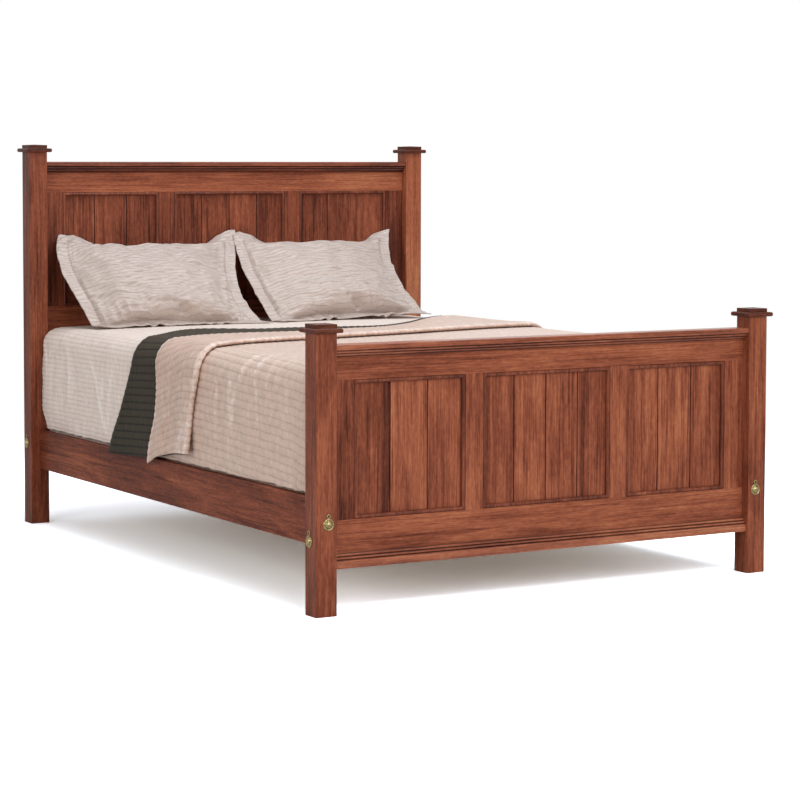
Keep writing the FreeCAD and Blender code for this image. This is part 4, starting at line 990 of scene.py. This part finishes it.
def makeSlab(name, node, halfX, lowY, highY, lowZ, highZ, corner, edge):
    # Rounded rectangle carried from the middle of the underside, out round the lower edge, up the
    # side, over the upper edge and in to the middle of the top.
    turn = np.linspace(0, 2 * math.pi, 161)[:-1]
    bend = np.linspace(0, math.pi / 2, 7)
    inset = np.concatenate([edge * (1 - np.sin(bend)), edge * (1 - np.sin(bend[::-1]))])
    height = np.concatenate([lowZ + edge * (1 - np.cos(bend)), highZ - edge * (1 - np.cos(bend[::-1]))])
    flatX = np.sign(np.cos(turn)) * (halfX - corner)
    flatY = np.sign(np.sin(turn)) * ((highY - lowY) / 2 - corner)
    radius = np.maximum(corner - inset, 0.001)[:, None]
    x, y = flatX + radius * np.cos(turn), flatY + radius * np.sin(turn)
    shrink = np.array([0.0001, 0.5])[:, None]
    x = np.concatenate([x[:1] * shrink, x, x[-1:] * shrink[::-1]])
    y = np.concatenate([y[:1] * shrink, y, y[-1:] * shrink[::-1]]) + (lowY + highY) / 2
    height = np.concatenate([[lowZ] * 2, height, [highZ] * 2])[:, None]
    points = np.stack([x, y, np.broadcast_to(height, x.shape)], -1)
    piece = gridPiece(name, points, points[..., :2] + points[..., 2:], [ticking], close=True)
    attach(piece, "bed")
    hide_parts(node)


form = slabSettings["foundation"]
low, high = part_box("foundation")
makeSlab("foundation_box", "foundation", high.x, low.y, high.y, low.z, high.z, form["corner"], form["edge"])
form = slabSettings["mattress"]
low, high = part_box("mattress")
makeSlab("mattress_core", "mattress", form["halfX"], low.y + form["endGap"], high.y - form["endGap"], low.z,
         bedForm["edgeZ"] - form["topGap"], form["corner"], form["edge"])
print("mattress and foundation made")

studio = {
    "floorWhite": 2.3,     # as the camera sees it, whiter than it lights the bed
    "floorTint": (0.97, 1.0, 1.05),
    "floorGlow": 0.02,
    "floorFade": (2.6, 4.2),  # metres from the bed's middle, between which the floor fades to plain white
    "floorHalf": 30,       # half its width in metres
    "worldLight": 0.42,
    "softboxes": {         # place, what it is aimed at, size, power and tint
        "front_softbox": ((-0.2, -6.2, 3.2), (0.0, 0.0, 0.6), (5.0, 3.4), 182, (1.0, 1.0, 1.0)),
        "overhead_softbox": ((0.3, -0.4, 4.2), (0.0, 0.2, 0.5), (2.8, 2.8), 122, (0.88, 1.0, 1.10)),
        "left_fill": ((-5.2, -2.2, 2.0), (0.0, 0.2, 0.5), (2.4, 2.4), 64, (1.0, 1.0, 1.0)),
    },
    "camera": (-4.3483, -7.5505, 1.3628),
    "cameraTurn": (30.582, -3.615, 0.132),  # degrees: to the right of +Y, up, and rolled to the left
    "focal": 112.8,        # mm on a 36 mm sensor
    "shift": -0.108,
}


def makeFloor(settings):
    # White studio floor. The camera sees it whiter than it lights the bed, so that only the bed's
    # shadow shows, and away from the bed it is plain white.
    material, add = newMaterial("Painted studio floor, white")
    paint = add("BsdfPrincipled", {"Base Color": hexToLinear("e6e6e6"), "Roughness": 0.9,
                                   "Specular IOR Level": 0.1})
    place = add("TexCoord").outputs["Object"]
    away = add("VectorMath", (place,), operation="LENGTH").outputs["Value"]
    far = add("MapRange", (away, *settings["floorFade"]), interpolation_type="SMOOTHSTEP")
    seen = add("LightPath").outputs["Is Camera Ray"]
    far = add("Math", (far, seen), operation="MULTIPLY")
    white = [settings["floorWhite"] * share for share in settings["floorTint"]] + [1.0]
    bright = add("BsdfDiffuse", {"Color": white})
    lit = add("Emission", {"Strength": settings["floorGlow"]})
    shown = add("AddShader", (bright, lit))
    near = add("MixShader", (seen, paint, shown))
    plain = add("Emission", {"Strength": 1.0})
    add("OutputMaterial", {"Surface": add("MixShader", (far, near, plain))})
    corners = settings["floorHalf"] * np.array([[-1, -1, 0], [1, -1, 0], [1, 1, 0], [-1, 1, 0]], float)
    meshPiece("studio_floor", corners, np.array([[0, 1, 2, 3]]), corners[:, :2], [material])


def makeWorld(settings):  # white where it is seen or mirrored, dimmer as a light
    world = bpy.data.worlds.new("Studio")
    bpy.context.scene.world = world
    world.use_nodes = True
    world.node_tree.nodes.clear()
    add = partial(addNode, world.node_tree)
    ray = add("LightPath").outputs
    mirrored = add("Math", (ray["Is Glossy Ray"], ray["Is Transmission Ray"]), operation="MAXIMUM")
    direct = add("Math", (ray["Is Camera Ray"], mirrored), operation="MAXIMUM")
    level = add("MapRange", {"Value": direct, "To Min": settings["worldLight"], "To Max": 1.0})
    glow = add("Background", {"Color": (1, 1, 1, 1), "Strength": level})
    add("OutputWorld", {"Surface": glow})


def makeSoftbox(name, place, target, size, power, tint):
    lamp = bpy.data.lights.new(name, "AREA")
    lamp.shape = "RECTANGLE"
    lamp.size, lamp.size_y = size
    lamp.energy = power
    lamp.color = tint
    holder = bpy.data.objects.new(name, lamp)
    holder.location = place
    holder.rotation_euler = (Vector(target) - Vector(place)).to_track_quat("-Z", "Y").to_euler()
    bpy.context.scene.collection.objects.link(holder)


def makeCamera(settings):
    yaw, pitch, roll = (math.radians(angle) for angle in settings["cameraTurn"])
    ahead = Vector((math.sin(yaw) * math.cos(pitch), math.cos(yaw) * math.cos(pitch), math.sin(pitch)))
    right = Vector((math.cos(yaw), -math.sin(yaw), 0))
    up = right.cross(ahead)
    side = right * math.cos(roll) + up * math.sin(roll)
    tilted = (side, up * math.cos(roll) - right * math.sin(roll), -ahead)
    lens = bpy.data.cameras.new("studio_camera")
    lens.lens, lens.sensor_width = settings["focal"], 36
    lens.shift_y = settings["shift"]
    lens.clip_start, lens.clip_end = 0.1, 100
    camera = bpy.data.objects.new("studio_camera", lens)
    camera.matrix_world = Matrix.Translation(settings["camera"]) @ Matrix(tilted).transposed().to_4x4()
    bpy.context.scene.collection.objects.link(camera)
    bpy.context.scene.camera = camera


makeFloor(studio)
makeWorld(studio)
for name, values in studio["softboxes"].items():
    makeSoftbox(name, *values)
makeCamera(studio)
bpy.context.scene.view_settings.view_transform = "Standard"
print("studio set")
